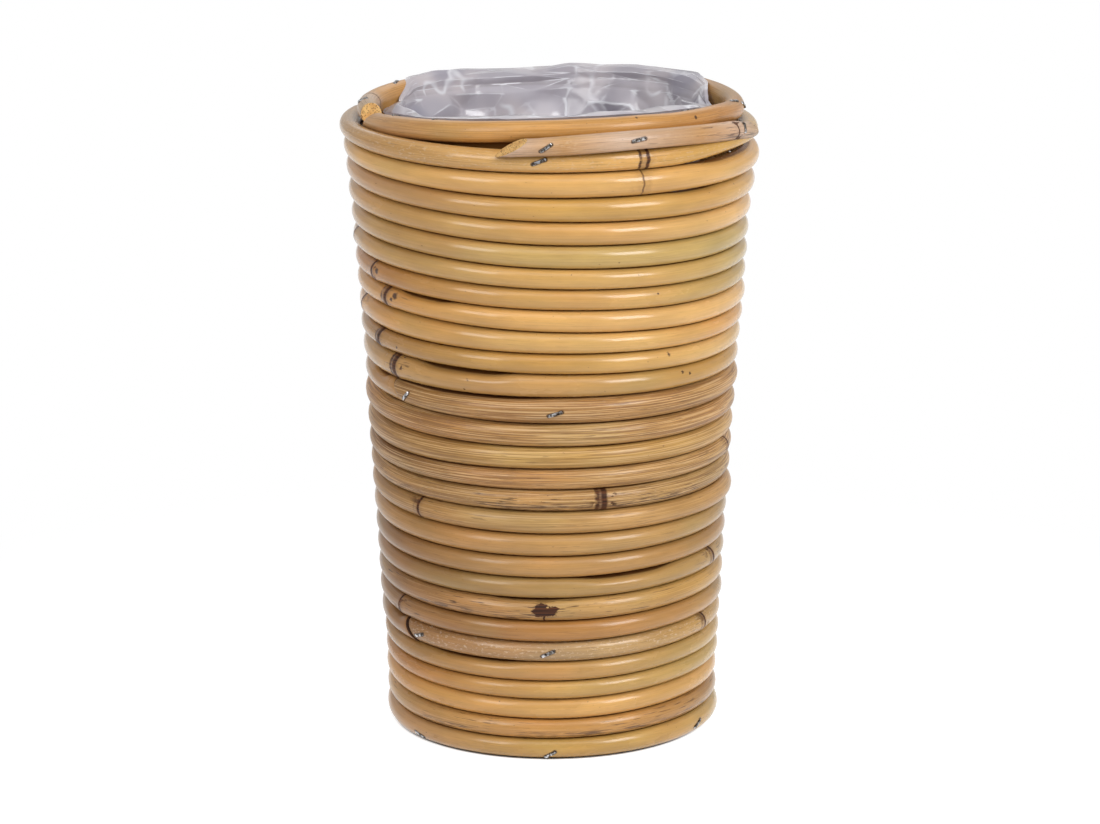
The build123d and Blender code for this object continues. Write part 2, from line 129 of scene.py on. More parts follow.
# Roughness and coat of each wall cane, and those amounts by place
CANE_FINISHES = {
    "wall_cane_foot": (0.28, 0.42, (
        (0.0, PLAIN), (0.95, PLAIN), (1.08, DIRTY), (1.85, DIRTY), (2.0, PLAIN), (4.85, PLAIN),
        (5.05, SCUFFED), (5.7, SCUFFED),
    )),
    "wall_cane_lower": (0.29, 0.40, (
        (5.6, PLAIN), (6.5, (0.2, 0.0, 0.1)), (6.7, (0.7, 0.0, 0.2)), (7.3, (0.3, 0.0, 0.2)),
        (7.52, (1.0, 0.1, 0.4)), (7.75, (1.0, 0.0, 0.3)), (8.1, PLAIN), (11.1, (0.3, 0.0, 0.2)),
    )),
    "wall_cane_middle": (0.34, 0.30, (
        (11.0, (0.3, 0.0, 0.3)), (11.9, (0.6, 0.1, 0.6)), (12.1, (1.0, 0.2, 0.9)),
        (12.9, (0.9, 0.2, 0.8)), (13.1, STREAKED), (13.9, STREAKED), (14.1, (0.3, 0.0, 0.7)),
        (14.9, (0.4, 0.0, 0.8)), (15.1, STREAKED), (16.7, (0.5, 0.1, 1.0)),
    )),
    "wall_cane_upper": (0.26, 0.50, ((16.6, PLAIN), (22.1, (0.1, 0.0, 0.0)))),
    "wall_cane_top": (0.25, 0.52, (
        (21.9, (0.1, 0.0, 0.0)), (27.0, (0.1, 0.0, 0.0)), (27.2, (0.2, 0.25, 0.1)),
        (27.85, (0.3, 0.7, 0.3)),
    )),
}
# How far the sides of a row stand out of a true round, in mm: row, left and right
SIDE_STANDS = (
    (29, 1.0, 1.6), (28, 1.3, 2.2), (27, 1.1, 1.4), (26, 0.8, 0.9), (25, 0.5, 1.1), (24, 0.4, 1.2),
    (22, 0.2, 0.3), (19, 0.0, 0.0), (14, 0.0, 0.2), (12, 0.3, 1.2), (10, 0.6, 1.8), (8, 0.8, 2.8),
    (7, 1.0, 2.2), (5, 1.0, 2.0), (3, 1.2, 3.2), (2, 1.4, 4.0), (1, 1.2, 2.0),
)
# Dark specks on the skin: row or piece, angle, elevation and size in mm
SPECKS = (
    (10, 38, 30, 1.3), (11, 44, 32, 1.0), (11, 46.8, 18, 0.9), (11, -25.6, 14, 0.9),
    (11, -26.8, -38, 0.8), (10, -53, -10, 0.8), (8, -52.6, 22, 2.2), (8, -54, 4, 1.2),
    (7, -61.5, 12, 1.7), (5, 20, -20, 0.6), (7, 33, 25, 0.6), ("hoop", 47, 28, 0.9),
    ("hoop", 26, 62, 0.7),
)
# Inside of the wall in mm, as in the CAD model: its radius and height where it starts to flare
WALL_RADIUS, FLARE_HEIGHT, FLARE = 66.0, 16.0, 0.0585

HOOP_RADIUS, HOOP_OVAL, HOOP_HALF = 82.03, 0.4, 4.75
HOOP_SHIFT, HOOP_JOINT = 0.8, -76
# Heights in mm of the middle of the hoop, by angle, from its pale end round to the other end
HOOP_RUN = (
    (-76, 284.9), (-86, 284.8), (-98, 284.4), (-112, 284.3), (-128, 284.4), (-142, 283.9),
    (-160, 282.9), (-171, 282.9), (-180, 284.0), (-190, 285.0), (-205, 285.6), (-225, 285.6),
    (-243, 285.0), (-260, 284.7), (-278, 285.0), (-301, 286.9), (-319, 287.4), (-333, 288.2),
    (-345, 288.2), (-360, 287.8), (-374, 287.1), (-388, 285.9), (-408, 284.4), (-422, 283.2),
    (-436, 282.2),
)
# Tones of the hoop by share of its length. The russet and umber over its back and right hold painted shade of
# its inner side there, as well as the hoop's own tone
HOOP_TONES = (
    (0.0, "grey"), (0.045, "pale"), (0.075, "amber"), (0.3, "russet"), (0.52, "umber"),
    (0.62, "russet"), (0.74, "amber"), (0.86, "amber"), (0.95, "rose"), (1.0, "rose"),
)
# Angle, radius and height in mm of the middle of the finishing cane
FINISHING_RUN = (
    (77, 91.9, 277.6), (61, 91.2, 280.8), (36, 90.9, 283.4), (24, 90.9, 283.8),
    (-2, 91.0, 282.4), (-10.5, 91.3, 281.8),
)
FINISHING_HALF = 4.25
# Staples: what each is in, its angle, its elevation round the cane, and its slope
STAPLES = {
    "foot_staples": ((28, -53, -26, -14), (28, -0.6, -28, 34), (28, 61, -4, 24)),
    "joint_staples": ((12, -49.5, -4, 44), (12, 1.4, -6, 17), (23, -51, -6, 18), (23, -1.1, -2, 24)),
    "finishing_staples": ((1, -2.8, 8, 21), ("fin", -0.8, 2, 35), ("fin", 24, 10, 9), ("fin", 65, 22, 64)),
    "rim_staples": (
        ("hoop", -57, 108, 86), ("hoop", -38.5, 108, 88), ("hoop", 48, 122, 10), ("hoop", 77, 72, -20),
        ("hoop", 84, 18, -28), ("hoop", 125, 122, 8), ("hoop", 155, 132, 0), ("hoop", -165, 130, 5),
        ("hoop", -120, 92, 20), ("hoop", -86, 62, 64),
    ),
}
STAPLE_CROWN, STAPLE_WIDTH, STAPLE_THICKNESS = 6.2, 1.3, 0.6
STAPLE_BEND, STAPLE_LEG, STAPLE_RISE = 0.5, 1.8, 0.12
STAPLE_BEVEL = 0.07

# The film in mm: its floor, its foot and its rim, and how it is folded over the hoop
FILM_FLOOR, FILM_TOP = 6.6, 285.0
FILM_FLOOR_RADIUS, FILM_FOOT_RADIUS = 60.0, 60.4
FILM_FLOOR_SHARES = (0.0, 0.35, 0.7, 0.94)
FILM_HEIGHTS = (
    FILM_FLOOR, 24, 44, 66, 88, 110, 132, 154, 175, 194, 211, 226, 240, 253, 265, 275, 281, FILM_TOP,
)
FILM_LIP = HOOP_HALF + 0.35
FILM_RIM_RADIUS = HOOP_RADIUS - FILM_LIP
LIP_STEPS, LIP_RISE, LIP_REACH = 5, 1.5, 0.5
FILM_COLUMNS, FILM_CUTS, FILM_SEED = 30, 7, 11
# Height in mm of the crumpled shelf under the rim, its spread, and how far it is raised
SHELF_HEIGHT, SHELF_SPREAD, SHELF_RAISED = 279, 6.0, 9.0
# Angles that the film hangs between at the sides, and those past which it is at the back, in
# degrees to the right and to the left
FILM_HANGS, FILM_BACK = ((62, 112), (-122, -70)), (113, 123)
# Degrees that it is folded over the hoop, how many more at the back, and how it hangs at the sides
FOLD_FRONT, FOLD_BACK, FOLD_SIDES = 72, 74, 14

# The rough helix that each cane is spun as, before it is laid
ROUGH_RADIUS, ROUGH_SECTION, ROUGH_PITCH = 8.0, 1.0, 3.0
END_BEVEL = 0.35
# One unit of a cane's map is two turns, which is about a metre
UV_PER_TURN = 0.5
# Length round a cane, as a share of that unit
ROUND_SHARE = 0.033
# Noises on the skin: stretch along and round it, scale, detail, roughness and seed
SKIN_NOISES = {
    "clouds": (1.0, 2.6, 26.0, 4.0, 0.55, 0),
    "warmth": (1.0, 1.8, 13.0, 2.0, 0.55, 7),
    "fibres": (1.0, 42.0, 34.0, 5.0, 0.62, 3),
    "threads": (1.0, 17.0, 80.0, 2.0, 0.55, 11),
    "lines": (1.0, 84.0, 24.0, 2.0, 0.6, 13),
    "grit": (1.0, 1.6, 420.0, 2.0, 0.6, 19),
    "blotch": (1.0, 2.2, 240.0, 4.0, 0.65, 23),
    "scratch": (0.7, 1.6, 620.0, 2.0, 0.7, 31),
    "spots": (0.8, 1.0, 170.0, 3.0, 0.6, 29),
    "wander": (0.0, 1.0, 260.0, 2.0, 0.55, 5),
}

# The camera as fitted to the photograph, in pixels of it, in metres and in degrees
PHOTO_WIDTH, PHOTO_FOCAL = 1100.0, 4094.7
PHOTO_SHIFT = (550.0 - 550.32, 2.0)
SENSOR_WIDTH = 36.0
CAMERA_PLACE, CAMERA_TILT, CAMERA_ROLL = (0, -1.8223, 0.5962), 14.005, -0.245
# Lamps: angle from the front, elevation, distance, width and height in m, and power where fixed
LAMPS = (
    ("key light", 50, 32, 1.5, 0.6, 0.6, None),
    ("fill light", -42, 32, 1.5, 0.6, 0.6, None),
    ("top light", 4, 58, 1.6, 1.4, 0.9, 5.6),
    ("back light", 178, 38, 1.7, 1.4, 0.8, 3.0),
)
LAMP_AIM = (0, 0, 0.15)
FLOOR_HALF, FLOOR_DROP = 6.0, 0.0002


def place_of(row, angle):
    """Place along the coil, in turns, of a row at an angle from the front."""
    return ROW_COUNT - row + (180 - angle) / 360


def eased(table, place):
    """Value at a place in a table of (place, value) pairs, on a smooth line with no overshoot."""
    if place <= table[0][0]:
        return table[0][1]
    if place >= table[-1][0]:
        return table[-1][1]
    low, high = 0, len(table) - 1
    while high - low > 1:
        middle = (low + high) // 2
        if table[middle][0] <= place:
            low = middle
        else:
            high = middle
    (start, first), (end, second) = table[low], table[high]

    def slope(index):
        if index in (0, len(table) - 1):
            return 0.0
        before = (table[index][1] - table[index - 1][1]) / (table[index][0] - table[index - 1][0])
        after = (table[index + 1][1] - table[index][1]) / (table[index + 1][0] - table[index][0])
        return 2 * before * after / (before + after) if before * after > 0 else 0.0

    part = (place - start) / (end - start)
    leave, arrive = slope(low) * (end - start), slope(high) * (end - start)
    rise = second - first
    cubic, square = leave + arrive - 2 * rise, 3 * rise - 2 * leave - arrive
    return first + part * (leave + part * (square + part * cubic))


def lay_table():
    """Heights of the top of the coil along it, for the whole vase."""
    table = [(-0.35, 0.0)]
    for row in range(ROW_COUNT, 0, -1):
        left, front, right = ROW_LINES[row - 1]
        start = ROW_COUNT - row
        table += [(start, right), (place_of(row, RIGHT), right), (place_of(row, 0), front)]
        table.append((place_of(row, LEFT), left))
    table.append((ROW_COUNT, ROW_LINES[0][0]))
    return table


LAY = lay_table()
LEFT_STANDS = [(ROW_COUNT - row + 0.5, left) for row, left, right in SIDE_STANDS]
RIGHT_STANDS = [(ROW_COUNT - row + 0.5, right) for row, left, right in SIDE_STANDS]
HOOP_HEIGHTS = [(-angle, height) for angle, height in HOOP_RUN]
FINISHING_RADII = [(place_of(1, angle), radius) for angle, radius, height in FINISHING_RUN]
FINISHING_HEIGHTS = [(place_of(1, angle), height) for angle, radius, height in FINISHING_RUN]


def ease(share):
    """Smooth step from 0 to 1."""
    share = min(max(share, 0), 1)
    return share * share * (3 - 2 * share)


def gap_at(place):
    """Depth of the open gap above the coil at a place, in mm."""
    row = ROW_COUNT - int(place)
    angle = 180 - 360 * (place - int(place))
    for below, start, end, depth in ROW_GAPS:
        if below == row and start < angle < end:
            middle, half = (start + end) / 2, (end - start) / 2
            return depth * ease(1.6 * (1 - abs(angle - middle) / half))
    return 0.0


def outward(angle):
    """Direction at an angle from the front, to the right."""
    return Vector((sin(radians(angle)), -cos(radians(angle)), 0))


def hoop_radius(angle):
    """Radius of the middle of the hoop in mm, which is a little oval."""
    return HOOP_RADIUS + HOOP_OVAL * sin(radians(angle)) ** 2


def hoop_middle(place):
    """Middle of the hoop in mm at a place."""
    angle = 180 - 360 * place
    while angle > HOOP_JOINT + 0.01:
        angle -= 360
    while angle <= HOOP_JOINT - 360:
        angle += 360
    height = eased(HOOP_HEIGHTS, -angle)
    return outward(angle) * hoop_radius(angle) + Vector((HOOP_SHIFT, 0, height))


def inner_radius(height):
    """Inside of the wall in mm at a height in mm, as in the CAD model."""
    return WALL_RADIUS + FLARE * max(height - FLARE_HEIGHT, 0)


def side_stand(place):
    """How far the coil stands out of a true round at a place, in mm."""
    side = sin(2 * pi * place)
    stand = 1.5 * min(max(place - 24, 0) / 4, 1) * side ** 2
    stand += eased(RIGHT_STANDS if side > 0 else LEFT_STANDS, place) * side ** 2
    stand += 1.4 * ease((place - 27.66) / 0.12)
    stand += 1.8 * exp(-(((place - place_of(17, 78)) / 0.07) ** 2))
    return stand + 0.3 * noise.noise((place * 3.0, 5.0, 0.0))


def wall_section(diameter):
    """Section of a wall cane at a place.

    It gives the radius and height of its middle, its half sizes outwards, inwards, up and
    down, and how far its outer shoulder is lowered, its outer foot lifted and its inner
    foot drawn down.
    """
    lift_start, start_length, lift_end, end_length, lifted = LIFTED

    def section(place):
        top = eased(LAY, place) + 0.12 * noise.noise((place * 7.0, 0.0, 3.0))
        foot = eased(LAY, place - 1) + 0.12 * noise.noise(((place - 1) * 7.0, 0.0, 3.0))
        foot = max(foot, 0.0)
        middle = (top + foot) / 2
        outer = inner_radius(middle) + 0.3 + diameter + side_stand(place)
        outer_half = (top - foot) * 0.5
        lift = lifted * ease((place - lift_start) / start_length) * ease((lift_end - place) / end_length)
        return (
            outer - outer_half, middle, outer_half, diameter - outer_half, top - middle, middle - foot,
            gap_at(place), lift, 0.0,
        )

    return section


def rough_coil(first, last, steps_per_turn, sides):
    """Mesh of a circle spun as a rough helix between two places, and its number of steps."""
    blocks = max(round(last - first), 1)
    block = (last - first) / blocks
    block_steps = round(block * steps_per_turn)
    mesh = bmesh.new()
    start = Matrix.Rotation(-2 * pi * first, 4, "Z")
    start @= Matrix.Translation((0, ROUGH_RADIUS, ROUGH_PITCH * first))
    bmesh.ops.create_circle(
        mesh, segments=sides, radius=ROUGH_SECTION, matrix=start @ Matrix.Rotation(pi / 2, 4, "Y")
    )
    bmesh.ops.spin(
        mesh, geom=mesh.edges[:] + mesh.verts[:], cent=(0, 0, 0), axis=(0, 0, -1),
        dvec=(0, 0, ROUGH_PITCH * block / block_steps), angle=2 * pi * block, steps=block_steps,
    )
    wound = mesh.verts[:] + mesh.edges[:] + mesh.faces[:]
    for number in range(1, blocks):
        copied = bmesh.ops.duplicate(mesh, geom=wound)["geom"]
        move = Matrix.Translation((0, 0, ROUGH_PITCH * block * number))
        move @= Matrix.Rotation(-2 * pi * block * number, 4, "Z")
        copied_verts = [item for item in copied if isinstance(item, bmesh.types.BMVert)]
        bmesh.ops.transform(mesh, matrix=move, verts=copied_verts)
    bmesh.ops.remove_doubles(mesh, verts=mesh.verts[:], dist=0.002)
    return mesh, blocks * block_steps


def swell_at(place, knots):
    """Swelling in mm of a cane at a place, at its nodes."""
    swell = 0.0
    for knot, strength, double, stain in knots:
        swell += KNOT_SWELL * strength * exp(-(((place - knot) * TURN_LENGTH / KNOT_LENGTH) ** 2))
    return swell


def lay_cane(mesh, first, last, steps, section, knots, ends, aside):
    """Moves a rough coil to its real line, and gives each vertex's place and angle round it."""
    along, around = {}, {}
    for vert in mesh.verts:
        x, y, z = vert.co
        part = (atan2(x, y) / (2 * pi)) % 1
        place = part + round(z / ROUGH_PITCH - part)
        along[vert] = place
        around[vert] = atan2(z - ROUGH_PITCH * place, hypot(x, y) - ROUGH_RADIUS)
    shapes = {}
    for vert in mesh.verts:
        step = round((along[vert] - first) / (last - first) * steps)
        place = first + (last - first) * step / steps
        if step not in shapes:
            shapes[step] = (section(place), swell_at(place, knots))
        shape, swell = shapes[step]
        radius, height, outer_half, inner_half, up_half, low_half, gap, lift, tuck = shape
        angle = around[vert]
        shift = 0.0
        for edge, (length, shortest), sign in ((first, ends[0], 1), (last, ends[1], -1)):
            reach = abs(place - edge) * 2 * pi * radius / (length * 1.5 + 6.0)
            shift += sign * length / 2 * cos(angle - radians(shortest)) * ease(1 - reach)
        place += shift / (2 * pi * radius)
        side = Vector((sin(2 * pi * place), cos(2 * pi * place), 0))
        out = (outer_half if cos(angle) > 0 else inner_half) + swell
        shoulder = ease(0.55 + 1.5 * cos(angle))
        if sin(angle) > 0:
            rise = up_half - gap * shoulder
        else:
            rise = low_half * (1 + tuck * max(-cos(angle), 0)) - lift * shoulder
        rise += swell * 0.4
        level = Vector((aside, 0, height + rise * sin(angle)))
        vert.co = (side * (radius + out * cos(angle)) + level) * MM
        along[vert] = place
    return along, around


def map_cane(mesh, along, around, knots):
    """Maps a cane: its length and round, and the distance, strength and stain of its nearest node."""
    lengthwise = mesh.loops.layers.uv.new("cane")
    marks = mesh.loops.layers.uv.new("knot")
    stains = mesh.loops.layers.uv.new("stain")
    for face in mesh.faces:
        face.smooth = True
        middle = sum(along[vert] for vert in face.verts) / len(face.verts)
        knot = min((abs(entry[0] - middle), entry) for entry in knots)[1]
        wraps = max(around[v] for v in face.verts) - min(around[v] for v in face.verts) > pi
        for loop in face.loops:
            angle = around[loop.vert]
            if wraps and angle < 0:
                angle += 2 * pi
            loop[lengthwise].uv = (along[loop.vert] * UV_PER_TURN, angle / (2 * pi) + 0.5)
            loop[marks].uv = ((along[loop.vert] - knot[0]) * UV_PER_TURN, knot[1])
            loop[stains].uv = (knot[2], knot[3])


def close_ends(mesh, along, middle):
    """Closes and rounds the cut ends of a cane, with slot 1 at its start and 2 at its end."""
    openings = [edge for edge in mesh.edges if edge.is_boundary]
    caps = bmesh.ops.holes_fill(mesh, edges=openings, sides=0)["faces"]
    for face in caps:
        face.material_index = 1 if along[face.verts[0]] < middle else 2
        face.smooth = False
    rims = [edge for face in caps for edge in face.edges]
    bmesh.ops.bevel(
        mesh, geom=rims, offset=END_BEVEL * MM, segments=2, profile=0.5, affect="EDGES", material=-1
    )
    bmesh.ops.recalc_face_normals(mesh, faces=mesh.faces[:])


def wound_cane(first, last, section, knots, ends, aside=0.0, steps_per_turn=220, sides=28):
    """Mesh of a wound cane: a circle spun as a rough helix, then laid along its real line.

    ends gives, for the start and the end, the length in mm of the slanted cut and the angle
    round the cane where it is shortest. aside is how far in mm it lies off the axis.
    """
    mesh, steps = rough_coil(first, last, steps_per_turn, sides)
    along, around = lay_cane(mesh, first, last, steps, section, knots, ends, aside)
    map_cane(mesh, along, around, knots)
    close_ends(mesh, along, (first + last) / 2)
    return mesh


def staple_seat(carrier, angle, elevation):
    """Where a staple lies on its cane: its middle in mm, and the way that it faces."""
    facing = outward(angle) * cos(radians(elevation)) + Vector((0, 0, sin(radians(elevation))))
    if carrier == "hoop":
        return hoop_middle((180 - angle) / 360) + facing * HOOP_HALF, facing
    if carrier == "fin":
        place = place_of(1, angle)
        middle = outward(angle) * eased(FINISHING_RADII, place)
        middle.z = eased(FINISHING_HEIGHTS, place)
        return middle + facing * FINISHING_HALF, facing
    place = place_of(carrier, angle)
    diameter = next(cane[3] for cane in WALL_CANES if cane[1] <= place <= cane[2])
    radius, height, outer_half, inner_half, up_half, low_half, *others = wall_section(diameter)(place)
    rise = (up_half if elevation > 0 else low_half) * sin(radians(elevation))
    seat = outward(angle) * (radius + outer_half * cos(radians(elevation)))
    return seat + Vector((0, 0, height + rise)), facing


def staple_frame(carrier, angle, elevation, slope):
    """Matrix of a staple: X along its crown, Z out of the cane, in mm."""
    seat, facing = staple_seat(carrier, angle, elevation)
    along = Vector((cos(radians(angle)), sin(radians(angle)), 0))
    across = facing.cross(along)
    turned = along * cos(radians(slope)) + across * sin(radians(slope))
    side = facing.cross(turned)
    return Matrix.Translation(seat) @ Matrix((turned, side, facing)).transposed().to_4x4()


def crown_length(slope):
    """Length of a staple's crown that shows, which is less where it lies across its cane."""
    return STAPLE_CROWN * (0.5 + 0.5 * cos(radians(slope)))


def bitten_places(group, carriers=None):
    """Middle in mm, direction and length in mm of each staple of a group."""
    places = []
    for entry in STAPLES[group]:
        if carriers is None or entry[0] in carriers:
            matrix = staple_frame(*entry)
            direction = matrix.to_3x3() @ Vector((1, 0, 0))
            places.append((matrix.translation, direction, crown_length(entry[3])))
    return places


def speck_places(carriers):
    """Place in mm and size in mm of each dark speck on the rows or piece named."""
    return [(staple_seat(*entry[:3])[0], entry[3]) for entry in SPECKS if entry[0] in carriers]


def bend_staple(mesh, matrix, crown):
    """Adds a bent staple of flat wire, its crown on the surface and its legs in the cane."""
    half = crown / 2
    known = set(mesh.verts)
    made = bmesh.ops.create_grid(
        mesh, x_segments=1, y_segments=1, size=0.5,
        matrix=Matrix.Translation((-half, 0, -STAPLE_LEG))
        @ Matrix.Diagonal((STAPLE_THICKNESS, STAPLE_WIDTH, 1, 1)),
    )
    end = list({face for vert in made["verts"] for face in vert.link_faces})

    def grow(faces, move):
        geom = bmesh.ops.extrude_face_region(mesh, geom=faces)["geom"]
        bmesh.ops.translate(mesh, verts=[v for v in geom if isinstance(v, bmesh.types.BMVert)], vec=move)
        return [f for f in geom if isinstance(f, bmesh.types.BMFace)]

    def bend(faces, centre):
        geom = bmesh.ops.spin(
            mesh, geom=faces, cent=centre, axis=(0, 1, 0), angle=pi / 2, steps=4
        )["geom_last"]
        return [f for f in geom if isinstance(f, bmesh.types.BMFace)]

    bend_height = STAPLE_RISE - STAPLE_BEND
    end = grow(end, (0, 0, STAPLE_LEG + bend_height))
    end = bend(end, (-half + STAPLE_BEND, 0, bend_height))
    end = grow(end, (crown - 2 * STAPLE_BEND, 0, 0))
    end = bend(end, (half - STAPLE_BEND, 0, bend_height))
    grow(end, (0, 0, -(STAPLE_LEG + bend_height)))
    bmesh.ops.transform(mesh, matrix=matrix, verts=[v for v in mesh.verts if v not in known])


def add_piece(name, mesh, materials, replaced=()):
    """Object from a finished bmesh, riding on the vase."""
    data = bpy.data.meshes.new(name)
    mesh.to_mesh(data)
    mesh.free()
    for material in materials:
        data.materials.append(material)
    piece = bpy.data.objects.new(name, data)
    bpy.context.scene.collection.objects.link(piece)
    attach(piece, BODY)
    if replaced:
        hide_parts(*replaced)
    return piece


def dress_node(name, material):
    """Gives a carried-over CAD node its material."""
    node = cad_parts[name]
    node.data.materials.clear()
    node.data.materials.append(material)


def opaque(colour):
    """Scene-linear colour with its alpha, from one in 0 to 255."""
    parts = [part / 255 for part in colour]
    return (*(part / 12.92 if part <= 0.04045 else ((part + 0.055) / 1.055) ** 2.4 for part in parts), 1.0)


class Graph:
    """Node tree, with short ways to add what the finishes are made of."""

    def __init__(self, tree):
        self.tree = tree
        tree.nodes.clear()

    def add(self, kind, inputs=None, **settings):
        """Adds a node, with its settings and its inputs by name or number."""
        node = self.tree.nodes.new(kind)
        for key, value in settings.items():
            setattr(node, key, value)
        for key, value in (inputs or {}).items():
            if isinstance(value, bpy.types.NodeSocket):
                self.tree.links.new(value, node.inputs[key])
            else:
                node.inputs[key].default_value = value
        return node

    def math(self, operation, first, second=0.5, third=0.5):
        """Output of a Math node."""
        return self.add("ShaderNodeMath", {0: first, 1: second, 2: third}, operation=operation).outputs[0]

    def vector_math(self, operation, first, second, output=0):
        """Output of a Vector Math node."""
        return self.add("ShaderNodeVectorMath", {0: first, 1: second}, operation=operation).outputs[output]

    def times(self, first, *others):
        """Product of some values."""
        for other in others:
            first = self.math("MULTIPLY", first, other)
        return first

    def most(self, first, *others):
        """Largest of some values."""
        for other in others:
            first = self.math("MAXIMUM", first, other)
        return first

    def least(self, first, second):
        """Smaller of two values."""
        return self.math("MINIMUM", first, second)

    def size(self, value):
        """Value without its sign."""
        return self.math("ABSOLUTE", value)

    def raised(self, value, other, amount):
        """Value plus an amount of another."""
        return self.math("MULTIPLY_ADD", other, amount, value)

    def jittered(self, value, cloud, amount):
        """Value moved either way by a noise."""
        return self.raised(value, self.math("SUBTRACT", cloud, 0.5), amount)

    def ramp(self, value, low, high, start=0.0, end=1.0):
        """Value eased from start to end while the input goes from low to high."""
        node = self.add(
            "ShaderNodeMapRange", {0: value, 1: low, 2: high, 3: start, 4: end},
            interpolation_type="SMOOTHSTEP",
        )
        return node.outputs[0]

    def noise(self, vector, stretch, scale, detail=3.0, roughness=0.55, seed=0.0):
        """Noise on coordinates stretched along each axis."""
        stretched = self.add(
            "ShaderNodeMapping", {"Vector": vector, "Location": (seed, seed, seed), "Scale": stretch}
        )
        node = self.add(
            "ShaderNodeTexNoise",
            {"Vector": stretched.outputs[0], "Scale": scale, "Detail": detail, "Roughness": roughness},
        )
        return node.outputs[0]

    def mix(self, factor, first, second, blend="MIX"):
        """Colour mixed from two by a factor."""
        node = self.add(
            "ShaderNodeMix", {0: factor, 6: first, 7: second}, data_type="RGBA", blend_type=blend
        )
        return node.outputs[2]

    def paint(self, colour, factor, tone):
        """Colour painted over by a factor with a tone in 0 to 255."""
        return self.mix(factor, colour, opaque(tone))

    def bump(self, height, strength, distance):
        """Normal bumped by a height."""
        node = self.add("ShaderNodeBump", {"Strength": strength, "Distance": distance, "Height": height})
        return node.outputs[0]

    def place(self):
        """Place on the object."""
        return self.add("ShaderNodeTexCoord").outputs["Object"]

    def shown_share(self, mirrored=1.0):
        """1 for what the camera sees, itself or through film, and a share of it in reflections."""
        seen = self.add("ShaderNodeLightPath").outputs
        reflected = self.times(seen["Is Glossy Ray"], mirrored)
        return self.most(seen["Is Camera Ray"], reflected, seen["Is Transmission Ray"])

    def finish(self, shader, kind="ShaderNodeOutputMaterial"):
        """Joins a shader to a new output."""
        self.tree.links.new(shader.outputs[0], self.add(kind).inputs[0])


def new_material(name):
    """Empty node material and its graph."""
    material = bpy.data.materials.new(name)
    material.use_nodes = True
    return material, Graph(material.node_tree)


def cane_ramp(graph, along, first, last, pairs):
    """Colour along a cane between two places, from (place, colour) pairs."""
    ends = {0: along, 1: first * UV_PER_TURN, 2: last * UV_PER_TURN}
    ramp = graph.add("ShaderNodeValToRGB", {0: graph.add("ShaderNodeMapRange", ends).outputs[0]})
    elements = ramp.color_ramp.elements
    while len(elements) > 1:
        elements.remove(elements[-1])
    for index, (place, colour) in enumerate(pairs):
        position = min(max((place - first) / (last - first), 0.0), 1.0)
        element = elements[0] if index == 0 else elements.new(position)
        element.position = position
        element.color = colour
    return ramp.outputs[0]


def skin_values(graph, seed):
    """Values that a cane's skin is painted from, by name."""

    def read(layer):
        place = graph.add("ShaderNodeUVMap", uv_map=layer).outputs[0]
        return graph.add("ShaderNodeSeparateXYZ", {0: place}).outputs

    values = {}
    values["along"], around = read("cane")[:2]
    values["from_knot"], values["strength"] = read("knot")[:2]
    values["double"], values["stain"] = read("stain")[:2]
    values["distance"] = graph.size(values["from_knot"])
    values["turned"] = graph.math("SINE", graph.times(around, 2 * pi))
    skin = graph.add(
        "ShaderNodeCombineXYZ", {0: values["along"], 1: graph.times(around, ROUND_SHARE)}
    ).outputs[0]
    for name, (lengthwise, across, scale, detail, roughness, own_seed) in SKIN_NOISES.items():
        values[name] = graph.noise(skin, (lengthwise, across, 1.0), scale, detail, roughness, seed + own_seed)
    return values


def grown_colour(graph, skin, base, stripes):
    """Colour of clean cane with its warm and green clouds, fibres and stripes, and the stripes."""
    colour = graph.paint(base, graph.ramp(skin["warmth"], 0.50, 0.70, 0.0, 0.24), (216, 148, 84))
    colour = graph.paint(colour, graph.ramp(skin["warmth"], 0.46, 0.28, 0.0, 0.20), (186, 172, 110))
    shade = graph.ramp(skin["clouds"], 0.30, 0.72, 0.88, 1.08)
    shade = graph.times(shade, graph.ramp(skin["fibres"], 0.25, 0.75, 0.93, 1.05))
    shaded = graph.add("ShaderNodeCombineColor", {0: shade, 1: shade, 2: shade}).outputs[0]
    colour = graph.mix(1.0, colour, shaded, "MULTIPLY")
    striped = graph.times(graph.ramp(skin["lines"], 0.51, 0.56), stripes)
    colour = graph.paint(colour, graph.times(striped, 0.58), (122, 84, 54))
    paler = graph.times(graph.ramp(skin["lines"], 0.46, 0.41), stripes)
    return graph.paint(colour, graph.times(paler, 0.5), (224, 190, 142)), striped


def worn_colour(graph, skin, colour, dashes, scuffs):
    """Colour with dark dashes, darker streaks on the lower side of each row where the dashes are heavy, pale
    scuffs and grit, and where it is dark.
    """
    near_knot = graph.times(graph.ramp(skin["distance"], 24 * MM, 2 * MM), skin["stain"])
    spread = graph.raised(dashes, near_knot, 0.6)
    dark = graph.times(graph.ramp(skin["threads"], 0.60, 0.66), graph.ramp(skin["clouds"], 0.36, 0.54))
    dark = graph.least(graph.times(dark, spread), 1.0)
    lower_streaks = graph.times(graph.ramp(dashes, 0.78, 0.92), graph.ramp(skin["turned"], -0.10, 0.40))
    lower_streaks = graph.times(lower_streaks, graph.ramp(skin["threads"], 0.45, 0.58))
    dark = graph.most(dark, graph.times(lower_streaks, graph.ramp(skin["clouds"], 0.40, 0.55)))
    colour = graph.paint(colour, graph.times(dark, 0.86), (74, 46, 28))
    scuffed = graph.times(graph.ramp(skin["scratch"], 0.54, 0.62), scuffs)
    scuffed = graph.times(scuffed, graph.ramp(skin["blotch"], 0.42, 0.56))
    colour = graph.paint(colour, graph.times(scuffed, 0.6), (216, 192, 164))
    return graph.paint(colour, graph.ramp(skin["grit"], 0.715, 0.76, 0.0, 0.7), (104, 70, 44)), dark


